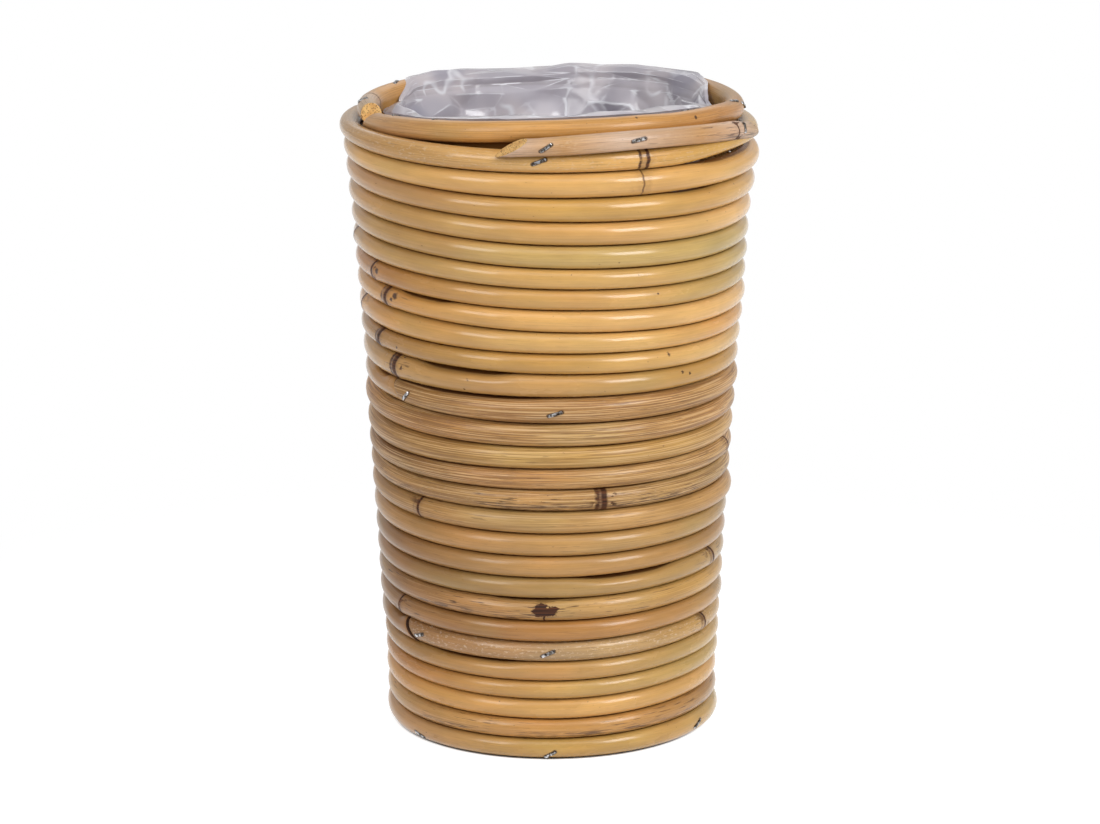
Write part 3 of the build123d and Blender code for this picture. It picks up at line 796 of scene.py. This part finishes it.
def crease_shaded_colour(graph, skin, colour, open_from):
    """Colour with painted shade in the creases, where a row lies under or over the next one."""
    under = graph.ramp(skin["turned"], 0.80, 1.0, 0.0, 0.86)
    over = graph.ramp(skin["turned"], -0.93, -1.0)
    if open_from is not None:
        opened = open_from * UV_PER_TURN
        over = graph.times(over, graph.ramp(skin["along"], opened + 6 * MM, opened))
    # Painted shade: the bottom and the top of each row are darkened where it meets the next row
    return graph.paint(colour, graph.times(graph.most(under, over), 0.9), (92, 50, 20))


def knot_lines(graph, skin, ring):
    """Where the line and the second line of a node are."""
    both = graph.times(skin["double"], skin["stain"])
    width = graph.math("MULTIPLY_ADD", skin["strength"], 0.50 * MM, 0.22 * MM)
    width = graph.raised(width, both, 0.55 * MM)
    line = graph.ramp(graph.math("DIVIDE", graph.size(ring), width), 1.4, 0.5)
    line = graph.times(line, graph.ramp(skin["strength"], 0.08, 0.5, 0.0, 0.97))
    second = graph.size(graph.math("SUBTRACT", ring, 3.2 * MM))
    second = graph.ramp(graph.math("DIVIDE", second, width), 1.1, 0.3)
    broken = graph.times(skin["double"], graph.ramp(skin["blotch"], 0.36, 0.56, 0.3, 0.95))
    return graph.most(line, graph.times(second, broken))


def knot_stains(graph, skin, ring):
    """Where the dark stains of a node are: the patch round it, and a knot's heart and crack."""
    stain = skin["stain"]
    patch = graph.times(
        graph.ramp(ring, -10.5 * MM, -1 * MM), graph.ramp(ring, 10.5 * MM, 0.5 * MM),
        graph.ramp(skin["spots"], 0.58, 0.63), graph.ramp(stain, 1.3, 1.1),
    )
    patch = graph.least(graph.times(patch, graph.times(stain, stain)), 0.88)
    length = graph.math("POWER", graph.math("DIVIDE", skin["distance"], 5.6 * MM), 2.0)
    across = graph.math("DIVIDE", graph.math("ADD", skin["turned"], 0.12), 0.62)
    across = graph.math("POWER", graph.size(across), 2.0)
    heart = graph.jittered(graph.math("ADD", length, across), skin["spots"], 4.0)
    heart = graph.jittered(heart, skin["blotch"], 3.0)
    heart = graph.times(graph.ramp(heart, 1.15, 0.85), graph.ramp(stain, 1.2, 1.5))
    crack = graph.ramp(graph.size(ring), 0.6 * MM, 0.3 * MM)
    crack = graph.times(crack, graph.ramp(skin["turned"], 0.1, 0.3))
    return graph.most(patch, heart, graph.times(crack, graph.ramp(stain, 1.3, 1.5)))


def knotted_colour(graph, skin, colour):
    """Colour with the nodes of the cane, and where they are marked."""
    wobble = graph.times(graph.math("SUBTRACT", skin["wander"], 0.5), 1.6 * MM)
    ring = graph.math("ADD", skin["from_knot"], wobble)
    soot = graph.times(
        graph.ramp(skin["distance"], 4.2 * MM, 0.2 * MM),
        graph.ramp(skin["blotch"], 0.38, 0.60, 0.15, 0.6), skin["strength"],
    )
    between = graph.times(
        graph.ramp(ring, 0.0, 0.7 * MM), graph.ramp(ring, 3.6 * MM, 2.8 * MM),
        graph.times(skin["double"], skin["stain"]), graph.ramp(skin["threads"], 0.35, 0.60, 0.35, 0.85),
    )
    marked = graph.most(knot_lines(graph, skin, ring), knot_stains(graph, skin, ring))
    colour = graph.paint(colour, soot, (112, 72, 44))
    colour = graph.paint(colour, between, (106, 70, 44))
    ink = graph.mix(graph.ramp(skin["fibres"], 0.40, 0.60), opaque((44, 20, 6)), opaque((88, 46, 18)))
    return graph.mix(marked, colour, ink), marked


def dent_shade_and_speck_colour(graph, skin, colour, bites, specks):
    """Colour darkened round each staple, by painted shade of its dent together with the worn cane there, and
    at each dark speck.
    """
    place = graph.place()
    for middle, along_crown, crown in bites:
        away = graph.vector_math("SUBTRACT", place, middle * MM)
        part = graph.vector_math("DOT_PRODUCT", away, along_crown, "Value")
        half = crown / 2 * MM
        part = graph.most(graph.least(part, half), -half)
        nearest = graph.add(
            "ShaderNodeVectorMath", {0: along_crown, "Scale": part}, operation="SCALE"
        ).outputs[0]
        reach = graph.vector_math("DISTANCE", away, nearest, "Value")
        reach = graph.jittered(reach, skin["blotch"], 1.2 * MM)
        # Painted shade of the staple's dent, together with the wear of the cane round it
        colour = graph.paint(colour, graph.ramp(reach, 1.3 * MM, 0.6 * MM, 0.0, 0.9), (58, 36, 24))
    for point, size in specks:
        reach = graph.vector_math("DISTANCE", place, point * MM, "Value")
        reach = graph.jittered(reach, skin["blotch"], 3 * MM)
        colour = graph.paint(colour, graph.ramp(reach, size * MM, size * 0.4 * MM, 0.0, 0.9), (62, 36, 24))
    return colour


def cane_skin(name, stops, streaks, roughness, coat, bites=(), specks=(), open_from=None):
    """Lacquered skin of a cane.

    stops are (place, tone) pairs along it. streaks are (place, amounts) pairs, the amounts
    being those of dark dashes, pale scuffs and fine stripes. bites are the middles,
    directions and lengths of staples in it. From the place open_from on, no cane lies on top
    of it.
    """
    material, graph = new_material(name)
    first, last = stops[0][0], stops[-1][0]
    skin = skin_values(graph, first)
    tones = [(place, opaque(TONES[tone])) for place, tone in stops]
    base = cane_ramp(graph, skin["along"], first, last, tones)
    amounts = [(place, (*value, 1.0)) for place, value in streaks]
    amounts = cane_ramp(graph, skin["along"], first, last, amounts)
    dashes, scuffs, stripes = graph.add("ShaderNodeSeparateColor", {0: amounts}).outputs[:3]
    colour, striped = grown_colour(graph, skin, base, stripes)
    colour, dark = worn_colour(graph, skin, colour, dashes, scuffs)
    colour = crease_shaded_colour(graph, skin, colour, open_from)
    colour, marked = knotted_colour(graph, skin, colour)
    colour = dent_shade_and_speck_colour(graph, skin, colour, bites, specks)

    swollen = graph.ramp(skin["distance"], 3.5 * MM, 0.0)
    height = graph.times(swollen, graph.times(skin["strength"], 0.5))
    for value, amount in ((marked, -0.6), (skin["fibres"], 0.07), (striped, -0.10), (dark, -0.16)):
        height = graph.raised(height, value, amount)
    gloss = graph.math("MULTIPLY_ADD", skin["clouds"], 0.14, roughness - 0.07)
    gloss = graph.raised(graph.raised(gloss, marked, 0.3), stripes, 0.12)
    shader = graph.add(
        "ShaderNodeBsdfPrincipled",
        {
            "Base Color": colour, "Roughness": gloss, "Normal": graph.bump(height, 0.6, 0.4 * MM),
            "Coat Weight": graph.math("MULTIPLY_ADD", marked, -0.85 * coat, coat),
            "Coat Roughness": 0.14, "Coat IOR": 1.45, "IOR": 1.36,
        },
    )
    graph.finish(shader)
    return material


def end_grain(name, light, dark, pore):
    """Makes the cut face of a cane: wood full of open pores."""
    graph = new_material(name)[1]
    place = graph.place()
    pores = graph.add("ShaderNodeTexVoronoi", {"Vector": place, "Scale": 1250.0}).outputs["Distance"]
    hole = graph.ramp(pores, 0.36, 0.24)
    tone = graph.noise(place, (1.0, 1.0, 1.0), 240.0)
    colour = graph.mix(graph.ramp(tone, 0.35, 0.65), opaque(light), opaque(dark))
    colour = graph.paint(colour, graph.times(hole, 0.85), pore)
    normal = graph.bump(graph.math("SUBTRACT", 1.0, hole), 0.7, 0.4 * MM)
    shader = graph.add(
        "ShaderNodeBsdfPrincipled", {"Base Color": colour, "Roughness": 0.8, "Normal": normal}
    )
    graph.finish(shader)


def wood_skin(name, light, dark, stretch, scale, roughness):
    """Raw wood with grain, on object coordinates."""
    material, graph = new_material(name)
    place = graph.place()
    grain = graph.noise(place, stretch, scale, 5.0, 0.6)
    clouds = graph.noise(place, (1.0, 1.0, 1.0), 30.0, seed=4.0)
    colour = graph.mix(graph.ramp(grain, 0.3, 0.7), opaque(light), opaque(dark))
    colour = graph.paint(colour, graph.ramp(clouds, 0.4, 0.7, 0.0, 0.35), dark)
    normal = graph.bump(grain, 0.5, 0.3 * MM)
    shader = graph.add(
        "ShaderNodeBsdfPrincipled", {"Base Color": colour, "Roughness": roughness, "Normal": normal}
    )
    graph.finish(shader)
    return material


def steel_wire():
    """Bright drawn steel, a little tarnished."""
    material, graph = new_material("staple steel")
    tarnish = graph.noise(graph.place(), (1.0, 1.0, 1.0), 700.0)
    colour = graph.mix(graph.ramp(tarnish, 0.36, 0.56), opaque((206, 206, 208)), opaque((92, 86, 80)))
    colour = graph.paint(colour, graph.ramp(tarnish, 0.56, 0.66), (44, 36, 32))
    roughness = graph.ramp(tarnish, 0.3, 0.7, 0.22, 0.45)
    shader = graph.add(
        "ShaderNodeBsdfPrincipled", {"Base Color": colour, "Metallic": 1.0, "Roughness": roughness}
    )
    graph.finish(shader)
    return material


def film_skin():
    """Thin milky polyethylene film, doubled at the rim, with painted highlights along its creases and
    wrinkles and painted shade in broad darker patches.
    """
    material, graph = new_material("clear film")
    creased = graph.add("ShaderNodeAttribute", attribute_name="crease").outputs["Fac"]
    place = graph.place()
    clouds = graph.noise(place, (1.0, 1.0, 0.8), 34.0, 2.0)
    shade_patches = graph.noise(place, (1.0, 1.0, 0.8), 24.0, 1.0, seed=9.0)
    wrinkles = graph.noise(place, (1.0, 1.0, 0.7), 46.0, 2.0, 0.5, seed=2.0)
    chosen = graph.noise(place, (1.0, 1.0, 1.0), 50.0, 1.0, seed=6.0)
    ridges = graph.size(graph.math("SUBTRACT", wrinkles, 0.5))
    # Painted highlights: thin bright lines along the ridges of the wrinkles
    veil_highlight = graph.times(graph.ramp(ridges, 0.045, 0.0), graph.ramp(clouds, 0.46, 0.56))
    # Painted highlights along the sharpest creases
    edges = graph.times(graph.ramp(creased, 0.25, 0.95), graph.ramp(chosen, 0.44, 0.54, 0.0, 0.95))
    white = graph.most(edges, graph.times(veil_highlight, 0.8))
    colour = graph.mix(graph.ramp(clouds, 0.35, 0.65), opaque((186, 181, 190)), opaque((212, 204, 208)))
    # Painted shade: broad darker patches, for the dark wall that shows through the film
    colour = graph.paint(colour, graph.ramp(shade_patches, 0.54, 0.68, 0.0, 0.6), (140, 139, 160))
    # The painted highlights are laid on in near white
    colour = graph.paint(colour, white, (240, 240, 246))
    normal = graph.bump(graph.raised(wrinkles, white, 0.3), 0.35, 1.6 * MM)
    film = graph.add(
        "ShaderNodeBsdfPrincipled",
        {
            "Base Color": colour, "Roughness": 0.24, "Normal": normal, "IOR": 1.5,
            "Coat Weight": 0.4, "Coat Roughness": 0.12,
        },
    )
    level = graph.add("ShaderNodeSeparateXYZ", {0: place}).outputs[2]
    light_through = graph.add("ShaderNodeBsdfTranslucent", {"Color": colour, "Normal": normal})
    glow = graph.ramp(level, 250 * MM, 284 * MM, 0.0, 0.18)
    body = graph.add("ShaderNodeMixShader", {0: glow, 1: film.outputs[0], 2: light_through.outputs[0]})
    clear = graph.add("ShaderNodeBsdfTransparent", {"Color": (0.93, 0.94, 0.98, 1.0)})
    facing = graph.add("ShaderNodeLayerWeight", {"Blend": 0.35, "Normal": normal}).outputs["Facing"]
    cover = graph.raised(graph.ramp(clouds, 0.3, 0.7, 0.78, 0.92), facing, 0.22)
    cover = graph.raised(cover, white, 0.35)
    cover = graph.raised(cover, graph.ramp(level, 282 * MM, 286 * MM), 0.22)
    cover = graph.least(graph.most(cover, graph.ramp(level, 284.5 * MM, 281.5 * MM)), 1.0)
    graph.finish(graph.add("ShaderNodeMixShader", {0: cover, 1: clear.outputs[0], 2: body.outputs[0]}))
    return material


def floor_finish(colour):
    """White floor that keeps the real shadow near the vase, and whose glow is taken away in a thin ring round
    the foot, which paints a contact shadow there.
    """
    material, graph = new_material("white floor")
    matt = graph.add("ShaderNodeBsdfDiffuse", {0: (*colour, 1.0)})
    shadowed = graph.add("ShaderNodeBsdfDiffuse", {0: (0.55, 0.55, 0.55, 1.0)})
    place = graph.place()
    reach = graph.add("ShaderNodeVectorMath", {0: place}, operation="LENGTH").outputs["Value"]
    # Painted contact shadow: no glow up to just past the foot's rim
    glow_past_contact_shadow = graph.ramp(reach, 71.9 * MM, 74.2 * MM, 0.0, 0.80)
    glow = graph.add("ShaderNodeEmission", {0: (1.0, 1.0, 1.0, 1.0), 1: glow_past_contact_shadow})
    near = graph.add("ShaderNodeAddShader", {0: shadowed.outputs[0], 1: glow.outputs[0]})
    white = graph.add("ShaderNodeEmission", {0: (1.0, 1.0, 1.0, 1.0), 1: 1.0})
    away = graph.ramp(reach, 0.12, 0.42)
    backdrop = graph.add("ShaderNodeMixShader", {0: away, 1: near.outputs[0], 2: white.outputs[0]})
    shown = graph.shown_share()
    graph.finish(graph.add("ShaderNodeMixShader", {0: shown, 1: matt.outputs[0], 2: backdrop.outputs[0]}))
    return material


def studio():
    """White surroundings that give less light than they show."""
    world = bpy.data.worlds.new("studio")
    world.use_nodes = True
    graph = Graph(world.node_tree)
    strength = graph.math("MULTIPLY_ADD", graph.shown_share(0.45), 0.71, 0.29)
    sky = graph.add("ShaderNodeBackground", {0: (1.0, 1.0, 1.0, 1.0), 1: strength})
    graph.finish(sky, "ShaderNodeOutputWorld")
    return world


def add_lamp(context, name, azimuth, elevation, distance, width, height, power):
    """Adds an area lamp that looks at the vase."""
    lamp = bpy.data.lights.new(name, "AREA")
    lamp.shape = "RECTANGLE"
    lamp.size, lamp.size_y, lamp.energy = width, height, power
    light = bpy.data.objects.new(name, lamp)
    offset = outward(azimuth) * cos(radians(elevation)) + Vector((0, 0, sin(radians(elevation))))
    light.location = Vector(LAMP_AIM) + offset * distance
    light.rotation_euler = offset.to_track_quat("Z", "Y").to_euler()
    context.scene.collection.objects.link(light)


def add_camera(context):
    """Adds the camera where the photograph was taken from."""
    lens = bpy.data.cameras.new("camera")
    lens.sensor_fit = "HORIZONTAL"
    lens.sensor_width = SENSOR_WIDTH
    lens.lens = PHOTO_FOCAL * SENSOR_WIDTH / PHOTO_WIDTH
    lens.shift_x, lens.shift_y = (pixels / PHOTO_WIDTH for pixels in PHOTO_SHIFT)
    lens.clip_end = 20.0
    camera = bpy.data.objects.new("camera", lens)
    camera.location = CAMERA_PLACE
    tilt = Matrix.Rotation(pi / 2 - radians(CAMERA_TILT), 4, "X")
    camera.rotation_euler = (tilt @ Matrix.Rotation(radians(CAMERA_ROLL), 4, "Z")).to_euler()
    context.scene.collection.objects.link(camera)
    context.scene.camera = camera


def spun_film():
    """Mesh in mm of the smooth film: its profile, turned round the axis."""
    profile = [(FILM_FLOOR_RADIUS * share, FILM_FLOOR) for share in FILM_FLOOR_SHARES]
    for height in FILM_HEIGHTS:
        share = (height - FILM_FLOOR) / (FILM_TOP - FILM_FLOOR)
        profile.append((FILM_FOOT_RADIUS + (FILM_RIM_RADIUS - FILM_FOOT_RADIUS) * share, height))
    for step in range(1, LIP_STEPS + 1):
        profile.append((FILM_RIM_RADIUS + LIP_REACH * step, FILM_TOP + LIP_RISE * step))
    mesh = bmesh.new()
    verts = [mesh.verts.new((radius, 0, height)) for radius, height in profile]
    for before, after in zip(verts, verts[1:]):
        mesh.edges.new((before, after))
    bmesh.ops.spin(
        mesh, geom=mesh.edges[:] + mesh.verts[:], cent=(0, 0, 0), axis=(0, 0, 1),
        angle=2 * pi, steps=FILM_COLUMNS, use_merge=True,
    )
    bmesh.ops.remove_doubles(mesh, verts=mesh.verts[:], dist=0.001)
    return mesh


def folded_over(angle, step, chance):
    """Place in mm of a point of the film that is folded over the hoop, or hangs at its sides."""
    middle = hoop_middle((180 - angle) / 360)
    sides = sum(ease((angle - low) / 6) * ease((high - angle) / 6) for low, high in FILM_HANGS)
    back = ease((angle - FILM_BACK[0]) / 8) + ease((-angle - FILM_BACK[1]) / 8)
    reach = (FOLD_FRONT + FOLD_BACK * back) * (1 - sides) - FOLD_SIDES * sides
    turn = radians(reach * step / LIP_STEPS)
    puff = chance.uniform(0, 0.5 + 1.9 * back) * (step > 0)
    around = FILM_LIP + puff + 2.2 * sides * chance.random()
    place = middle + outward(angle) * -cos(turn) * around + Vector((0, 0, sin(turn) * around))
    place.z -= 2.5 * sides * (1 - step / LIP_STEPS * 0.6)
    return place


def crumpled(place, angle, depth, chance):
    """Place in mm of a point of the film's wall or floor, once it is crumpled."""
    x, y, height = place
    radius = hypot(x, y)
    share = (height - FILM_FLOOR) / (FILM_TOP - FILM_FLOOR)
    if share <= 0:
        return Vector((x, y, height + chance.uniform(0, 1.2)))
    slack = ease(share * 5) * (0.35 + 0.65 * ease((1 - share) / 0.05))
    drift = Vector((x, y, height * 0.6)) / 42.0
    large = max(0.0, 0.55 + 1.1 * noise.noise(drift))
    push = slack * depth * (1.6 * large + 1.5 * chance.random() ** 1.6)
    shelf = exp(-(((height - SHELF_HEIGHT) / SHELF_SPREAD) ** 2)) * ease((112 - abs(angle + 4)) / 30)
    push += shelf * chance.uniform(4, 16)
    swing = radians(chance.uniform(-4.2, 4.2)) * slack
    scale = (radius - push) / radius
    x, y = x * cos(swing) - y * sin(swing), x * sin(swing) + y * cos(swing)
    step_up = 7.5 if height < 230 else 5.5 * ease((284 - height) / 16) + 0.6
    sag = (hoop_middle((180 - angle) / 360).z - FILM_TOP) * share ** 6 + SHELF_RAISED * shelf
    height += sag + chance.uniform(-step_up, step_up) * slack
    return Vector((x * scale + HOOP_SHIFT * share, y * scale, height))


def mark_creases(mesh):
    """Keeps how sharply the film is folded at each vertex, as an attribute."""
    creases = mesh.verts.layers.float.new("crease")
    for edge in mesh.edges:
        if len(edge.link_faces) == 2:
            fold = edge.calc_face_angle(0.0)
            for vert in edge.verts:
                vert[creases] = min(max(vert[creases], fold / 0.7), 1.0)


class CaneVaseSettings(bpy.types.PropertyGroup):
    """Sizes and colours that a user may change."""

    film_fold: bpy.props.FloatProperty(
        name="Film fold", description="Depth of the film's creases", default=0.0042, unit="LENGTH"
    )
    floor_colour: bpy.props.FloatVectorProperty(
        name="Floor colour", description="Colour of the floor and the backdrop", default=(0.9, 0.9, 0.9),
        subtype="COLOR", size=3,
    )
    key_power: bpy.props.FloatProperty(
        name="Key light", description="Power of the light at the right", default=10.9
    )
    fill_power: bpy.props.FloatProperty(
        name="Fill light", description="Power of the light at the left", default=5.8
    )


class CANEVASE_OT_stage(bpy.types.Operator):
    """Adds the floor, the lights and the camera"""

    bl_idname = "canevase.stage"
    bl_label = "Stage"

    def execute(self, context):
        settings = context.scene.cane_vase
        floor_mesh = bmesh.new()
        bmesh.ops.create_grid(floor_mesh, x_segments=1, y_segments=1, size=FLOOR_HALF)
        bmesh.ops.translate(floor_mesh, verts=floor_mesh.verts[:], vec=(0, 0, -FLOOR_DROP))
        data = bpy.data.meshes.new("floor")
        floor_mesh.to_mesh(data)
        floor_mesh.free()
        floor = bpy.data.objects.new("floor", data)
        context.scene.collection.objects.link(floor)
        data.materials.append(floor_finish(settings.floor_colour))
        context.scene.world = studio()
        powers = {"key light": settings.key_power, "fill light": settings.fill_power}
        for name, *shape, power in LAMPS:
            add_lamp(context, name, *shape, powers.get(name, power))
        add_camera(context)
        context.scene.view_settings.view_transform = "Standard"
        return {"FINISHED"}


class CANEVASE_OT_cut_ends(bpy.types.Operator):
    """Makes the finish of the canes' cut ends"""

    bl_idname = "canevase.cut_ends"
    bl_label = "Cut ends"

    def execute(self, context):
        end_grain("cane end grain", (232, 190, 122), (212, 162, 96), (112, 68, 34))
        # Painted shade: the cut faces inside the joints are made dark, for the shade in those narrow seams
        end_grain("cane end grain painted shaded in a joint", (92, 56, 30), (64, 38, 20), (34, 20, 12))
        return {"FINISHED"}


class CANEVASE_OT_wall_canes(bpy.types.Operator):
    """Adds the five wound canes of the wall"""

    bl_idname = "canevase.wall_canes"
    bl_label = "Wall canes"

    def execute(self, context):
        # The dark end grain of the joints stands for the shade in the seams
        cut = bpy.data.materials["cane end grain painted shaded in a joint"]
        pale_cut = bpy.data.materials["cane end grain"]
        bites = {
            "wall_cane_foot": bitten_places("foot_staples") + bitten_places("joint_staples", (23,)),
            "wall_cane_middle": bitten_places("joint_staples", (12,)),
            "wall_cane_top": bitten_places("finishing_staples", (1,)),
        }
        specks = {"wall_cane_upper": speck_places((7, 8, 9, 10, 11)), "wall_cane_top": speck_places((5,))}
        tones = []
        for row in range(ROW_COUNT, 0, -1):
            for share, tone in zip(TONE_SHARES, reversed(ROW_TONES[row - 1])):
                tones.append((ROW_COUNT - row + share, tone))
        all_knots = [(place_of(row, angle), *marks) for row, angle, *marks in CANE_KNOTS]
        for name, first, last, diameter in WALL_CANES:
            roughness, coat, streaks = CANE_FINISHES[name]
            starts, tops_out = first == 0, last > LAST_COVERED
            material = cane_skin(
                name.replace("_", " ") + " skin",
                [(place, tone) for place, tone in tones if first - 0.3 < place < last + 0.3],
                streaks, roughness, coat, bites.get(name, ()), specks.get(name, ()),
                LAST_COVERED if tops_out else None,
            )
            mesh = wound_cane(
                first + (0 if starts else JOINT_GAP), last - JOINT_GAP, wall_section(diameter),
                [knot for knot in all_knots if first < knot[0] < last],
                ((0.5 if starts else 9.0, 90), (5.0, 0) if tops_out else (9.0, -90)),
            )
            cuts = [pale_cut if starts else cut, pale_cut if tops_out else cut]
            add_piece(name + "_skin", mesh, [material, *cuts], [name])
        return {"FINISHED"}


class CANEVASE_OT_rim_hoop(bpy.types.Operator):
    """Adds the bent hoop that closes the rim"""

    bl_idname = "canevase.rim_hoop"
    bl_label = "Rim hoop"

    def execute(self, context):
        def section(place):
            wave = 0.2 * noise.noise((place * 6.0, 1.0, 8.0))
            half = HOOP_HALF + 0.12 * noise.noise((place * 11.0, 2.0, 0.0))
            radius = hoop_radius(180 - 360 * place) + wave
            return (radius, hoop_middle(place).z, half, half, half, half, 0.0, 0.0, 2.4)

        first = (180 - HOOP_JOINT) / 360 + 0.0004
        last = first + 1 - 0.006
        stops = [(first + share, tone) for share, tone in HOOP_TONES]
        streaks = ((first, (0.5, 0.6, 0.5)), (first + 0.08, (0.2, 0.1, 0.2)), (last, (0.3, 0.1, 0.3)))
        bites, specks = bitten_places("rim_staples"), speck_places(("hoop",))
        material = cane_skin("rim hoop skin", stops, streaks, 0.32, 0.25, bites, specks, first - 1)
        knots = [(first + 0.058, 0.5, 0.0, 0.3), (first + 0.40, 0.4, 0.0, 0.3)]
        mesh = wound_cane(first, last, section, knots, ((1.0, 90), (14.0, 80)), HOOP_SHIFT, 400, 32)
        cut = bpy.data.materials["cane end grain"]
        add_piece("rim_hoop_skin", mesh, [material, cut, cut], ["rim_hoop"])
        return {"FINISHED"}


class CANEVASE_OT_finishing_cane(bpy.types.Operator):
    """Adds the short cane laid on the top turn, under the hoop"""

    bl_idname = "canevase.finishing_cane"
    bl_label = "Finishing cane"

    def execute(self, context):
        def section(place):
            half = FINISHING_HALF + 0.1 * noise.noise((place * 16.0, 4.0, 0.0))
            radius = eased(FINISHING_RADII, place)
            return (radius, eased(FINISHING_HEIGHTS, place), half, half, half, half, 0.0, 0.0, 0.0)

        first, last = FINISHING_RADII[0][0], FINISHING_RADII[-1][0]
        stops = [
            (first, "grey"), (first + 0.04, "pale"), (first + 0.09, "rose"), (first + 0.16, "pale"),
            (last - 0.04, "rose"), (last, "pale"),
        ]
        streaks = (
            (first, (0.9, 0.5, 0.3)), (first + 0.07, (0.9, 0.3, 0.2)), (first + 0.1, (0.3, 0.2, 0.2)),
            (last, (0.4, 0.4, 0.3)),
        )
        bites = bitten_places("finishing_staples", ("fin",))
        material = cane_skin("finishing cane skin", stops, streaks, 0.36, 0.2, bites, (), first - 1)
        knots = [(place_of(1, 61.0), 0.5, 0.0, 1.0)]
        ends = ((10.0, 75), (15.0, 66))
        mesh = wound_cane(first, last, section, knots, ends, steps_per_turn=400, sides=32)
        cut = bpy.data.materials["cane end grain"]
        add_piece("finishing_cane_skin", mesh, [material, cut, cut], ["finishing_cane"])
        return {"FINISHED"}


class CANEVASE_OT_film_liner(bpy.types.Operator):
    """Adds the crumpled film liner, stapled over the hoop's inner side"""

    bl_idname = "canevase.film_liner"
    bl_label = "Film liner"

    def execute(self, context):
        depth = context.scene.cane_vase.film_fold / MM
        chance = Random(FILM_SEED)
        mesh = spun_film()
        for vert in mesh.verts:
            x, y, height = vert.co
            if hypot(x, y) < 1:
                continue
            angle = degrees(atan2(x, -y))
            if height > FILM_TOP - 0.1:
                vert.co = folded_over(angle, (height - FILM_TOP) / LIP_RISE, chance)
            else:
                vert.co = crumpled(vert.co, angle, depth, chance)
        bmesh.ops.triangulate(mesh, faces=mesh.faces[:], quad_method="SHORT_EDGE")
        bmesh.ops.subdivide_edges(mesh, edges=mesh.edges[:], cuts=FILM_CUTS, use_grid_fill=True)
        for vert in mesh.verts:
            if vert.co.z > FILM_FLOOR + 6:
                side = Vector((vert.co.x, vert.co.y, 0)).normalized()
                wide, fine = noise.noise(vert.co / 21.0), noise.noise(vert.co / 7.0)
                vert.co -= side * (4.2 * abs(wide) + 0.5 * abs(fine))
        bmesh.ops.recalc_face_normals(mesh, faces=mesh.faces[:])
        mark_creases(mesh)
        for pass_number in range(2):
            bmesh.ops.smooth_vert(
                mesh, verts=mesh.verts[:], factor=0.5, use_axis_x=True, use_axis_y=True, use_axis_z=True
            )
        for face in mesh.faces:
            face.smooth = True
        bmesh.ops.scale(mesh, vec=(MM, MM, MM), verts=mesh.verts[:])
        area = sum(face.calc_area() for face in mesh.faces)
        piece = add_piece("film_liner_sheet", mesh, [film_skin()], ["film_liner"])
        return {"FINISHED"}


class CANEVASE_OT_stakes_and_disc(bpy.types.Operator):
    """Finishes the inner stakes and the base disc"""

    bl_idname = "canevase.stakes_and_disc"
    bl_label = "Stakes and disc"

    def execute(self, context):
        stake = wood_skin("split cane", (206, 170, 116), (168, 124, 74), (9.0, 9.0, 0.35), 90.0, 0.6)
        board = wood_skin("plywood", (204, 166, 116), (170, 128, 82), (0.5, 9.0, 9.0), 60.0, 0.7)
        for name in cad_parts:
            if name.startswith("stake_") and name != "stake_staples":
                dress_node(name, stake)
        dress_node("base_disc", board)
        return {"FINISHED"}


class CANEVASE_OT_staples(bpy.types.Operator):
    """Finishes the staples and the brads"""

    bl_idname = "canevase.staples"
    bl_label = "Staples"

    def execute(self, context):
        steel = steel_wire()
        for group, entries in STAPLES.items():
            mesh = bmesh.new()
            for entry in entries:
                bend_staple(mesh, staple_frame(*entry), crown_length(entry[3]))
            bmesh.ops.bevel(
                mesh, geom=mesh.edges[:], offset=STAPLE_BEVEL, segments=1, profile=0.5, affect="EDGES",
                material=-1,
            )
            bmesh.ops.recalc_face_normals(mesh, faces=mesh.faces[:])
            bmesh.ops.scale(mesh, vec=(MM, MM, MM), verts=mesh.verts[:])
            add_piece(group + "_wire", mesh, [steel], [group])
        for name in ("stake_staples", "disc_brads"):
            dress_node(name, steel)
        return {"FINISHED"}


class CANEVASE_PT_panel(bpy.types.Panel):
    """Panel with a button for each group of pieces"""

    bl_label = "Cane Vase"
    bl_idname = "CANEVASE_PT_panel"
    bl_space_type = "VIEW_3D"
    bl_region_type = "UI"
    bl_category = "Cane Vase"

    def draw(self, context):
        settings = context.scene.cane_vase
        for name in ("film_fold", "floor_colour", "key_power", "fill_power"):
            self.layout.prop(settings, name)
        for step in STEPS:
            self.layout.operator(step.bl_idname)


STEPS = (
    CANEVASE_OT_stage,
    CANEVASE_OT_cut_ends,
    CANEVASE_OT_wall_canes,
    CANEVASE_OT_rim_hoop,
    CANEVASE_OT_finishing_cane,
    CANEVASE_OT_film_liner,
    CANEVASE_OT_stakes_and_disc,
    CANEVASE_OT_staples,
)
CLASSES = (CaneVaseSettings, *STEPS, CANEVASE_PT_panel)


def register():
    """Registers the classes and the scene's settings."""
    for entry in CLASSES:
        bpy.utils.register_class(entry)
    bpy.types.Scene.cane_vase = bpy.props.PointerProperty(type=CaneVaseSettings)


def unregister():
    """Takes the settings and the classes away again."""
    del bpy.types.Scene.cane_vase
    for entry in reversed(CLASSES):
        bpy.utils.unregister_class(entry)


def main():
    """Makes every piece in order."""
    register()
    bpy.ops.canevase.stage()
    bpy.ops.canevase.cut_ends()
    bpy.ops.canevase.wall_canes()
    bpy.ops.canevase.rim_hoop()
    bpy.ops.canevase.finishing_cane()
    bpy.ops.canevase.film_liner()
    bpy.ops.canevase.stakes_and_disc()
    bpy.ops.canevase.staples()


if __name__ == "__main__":
    main()
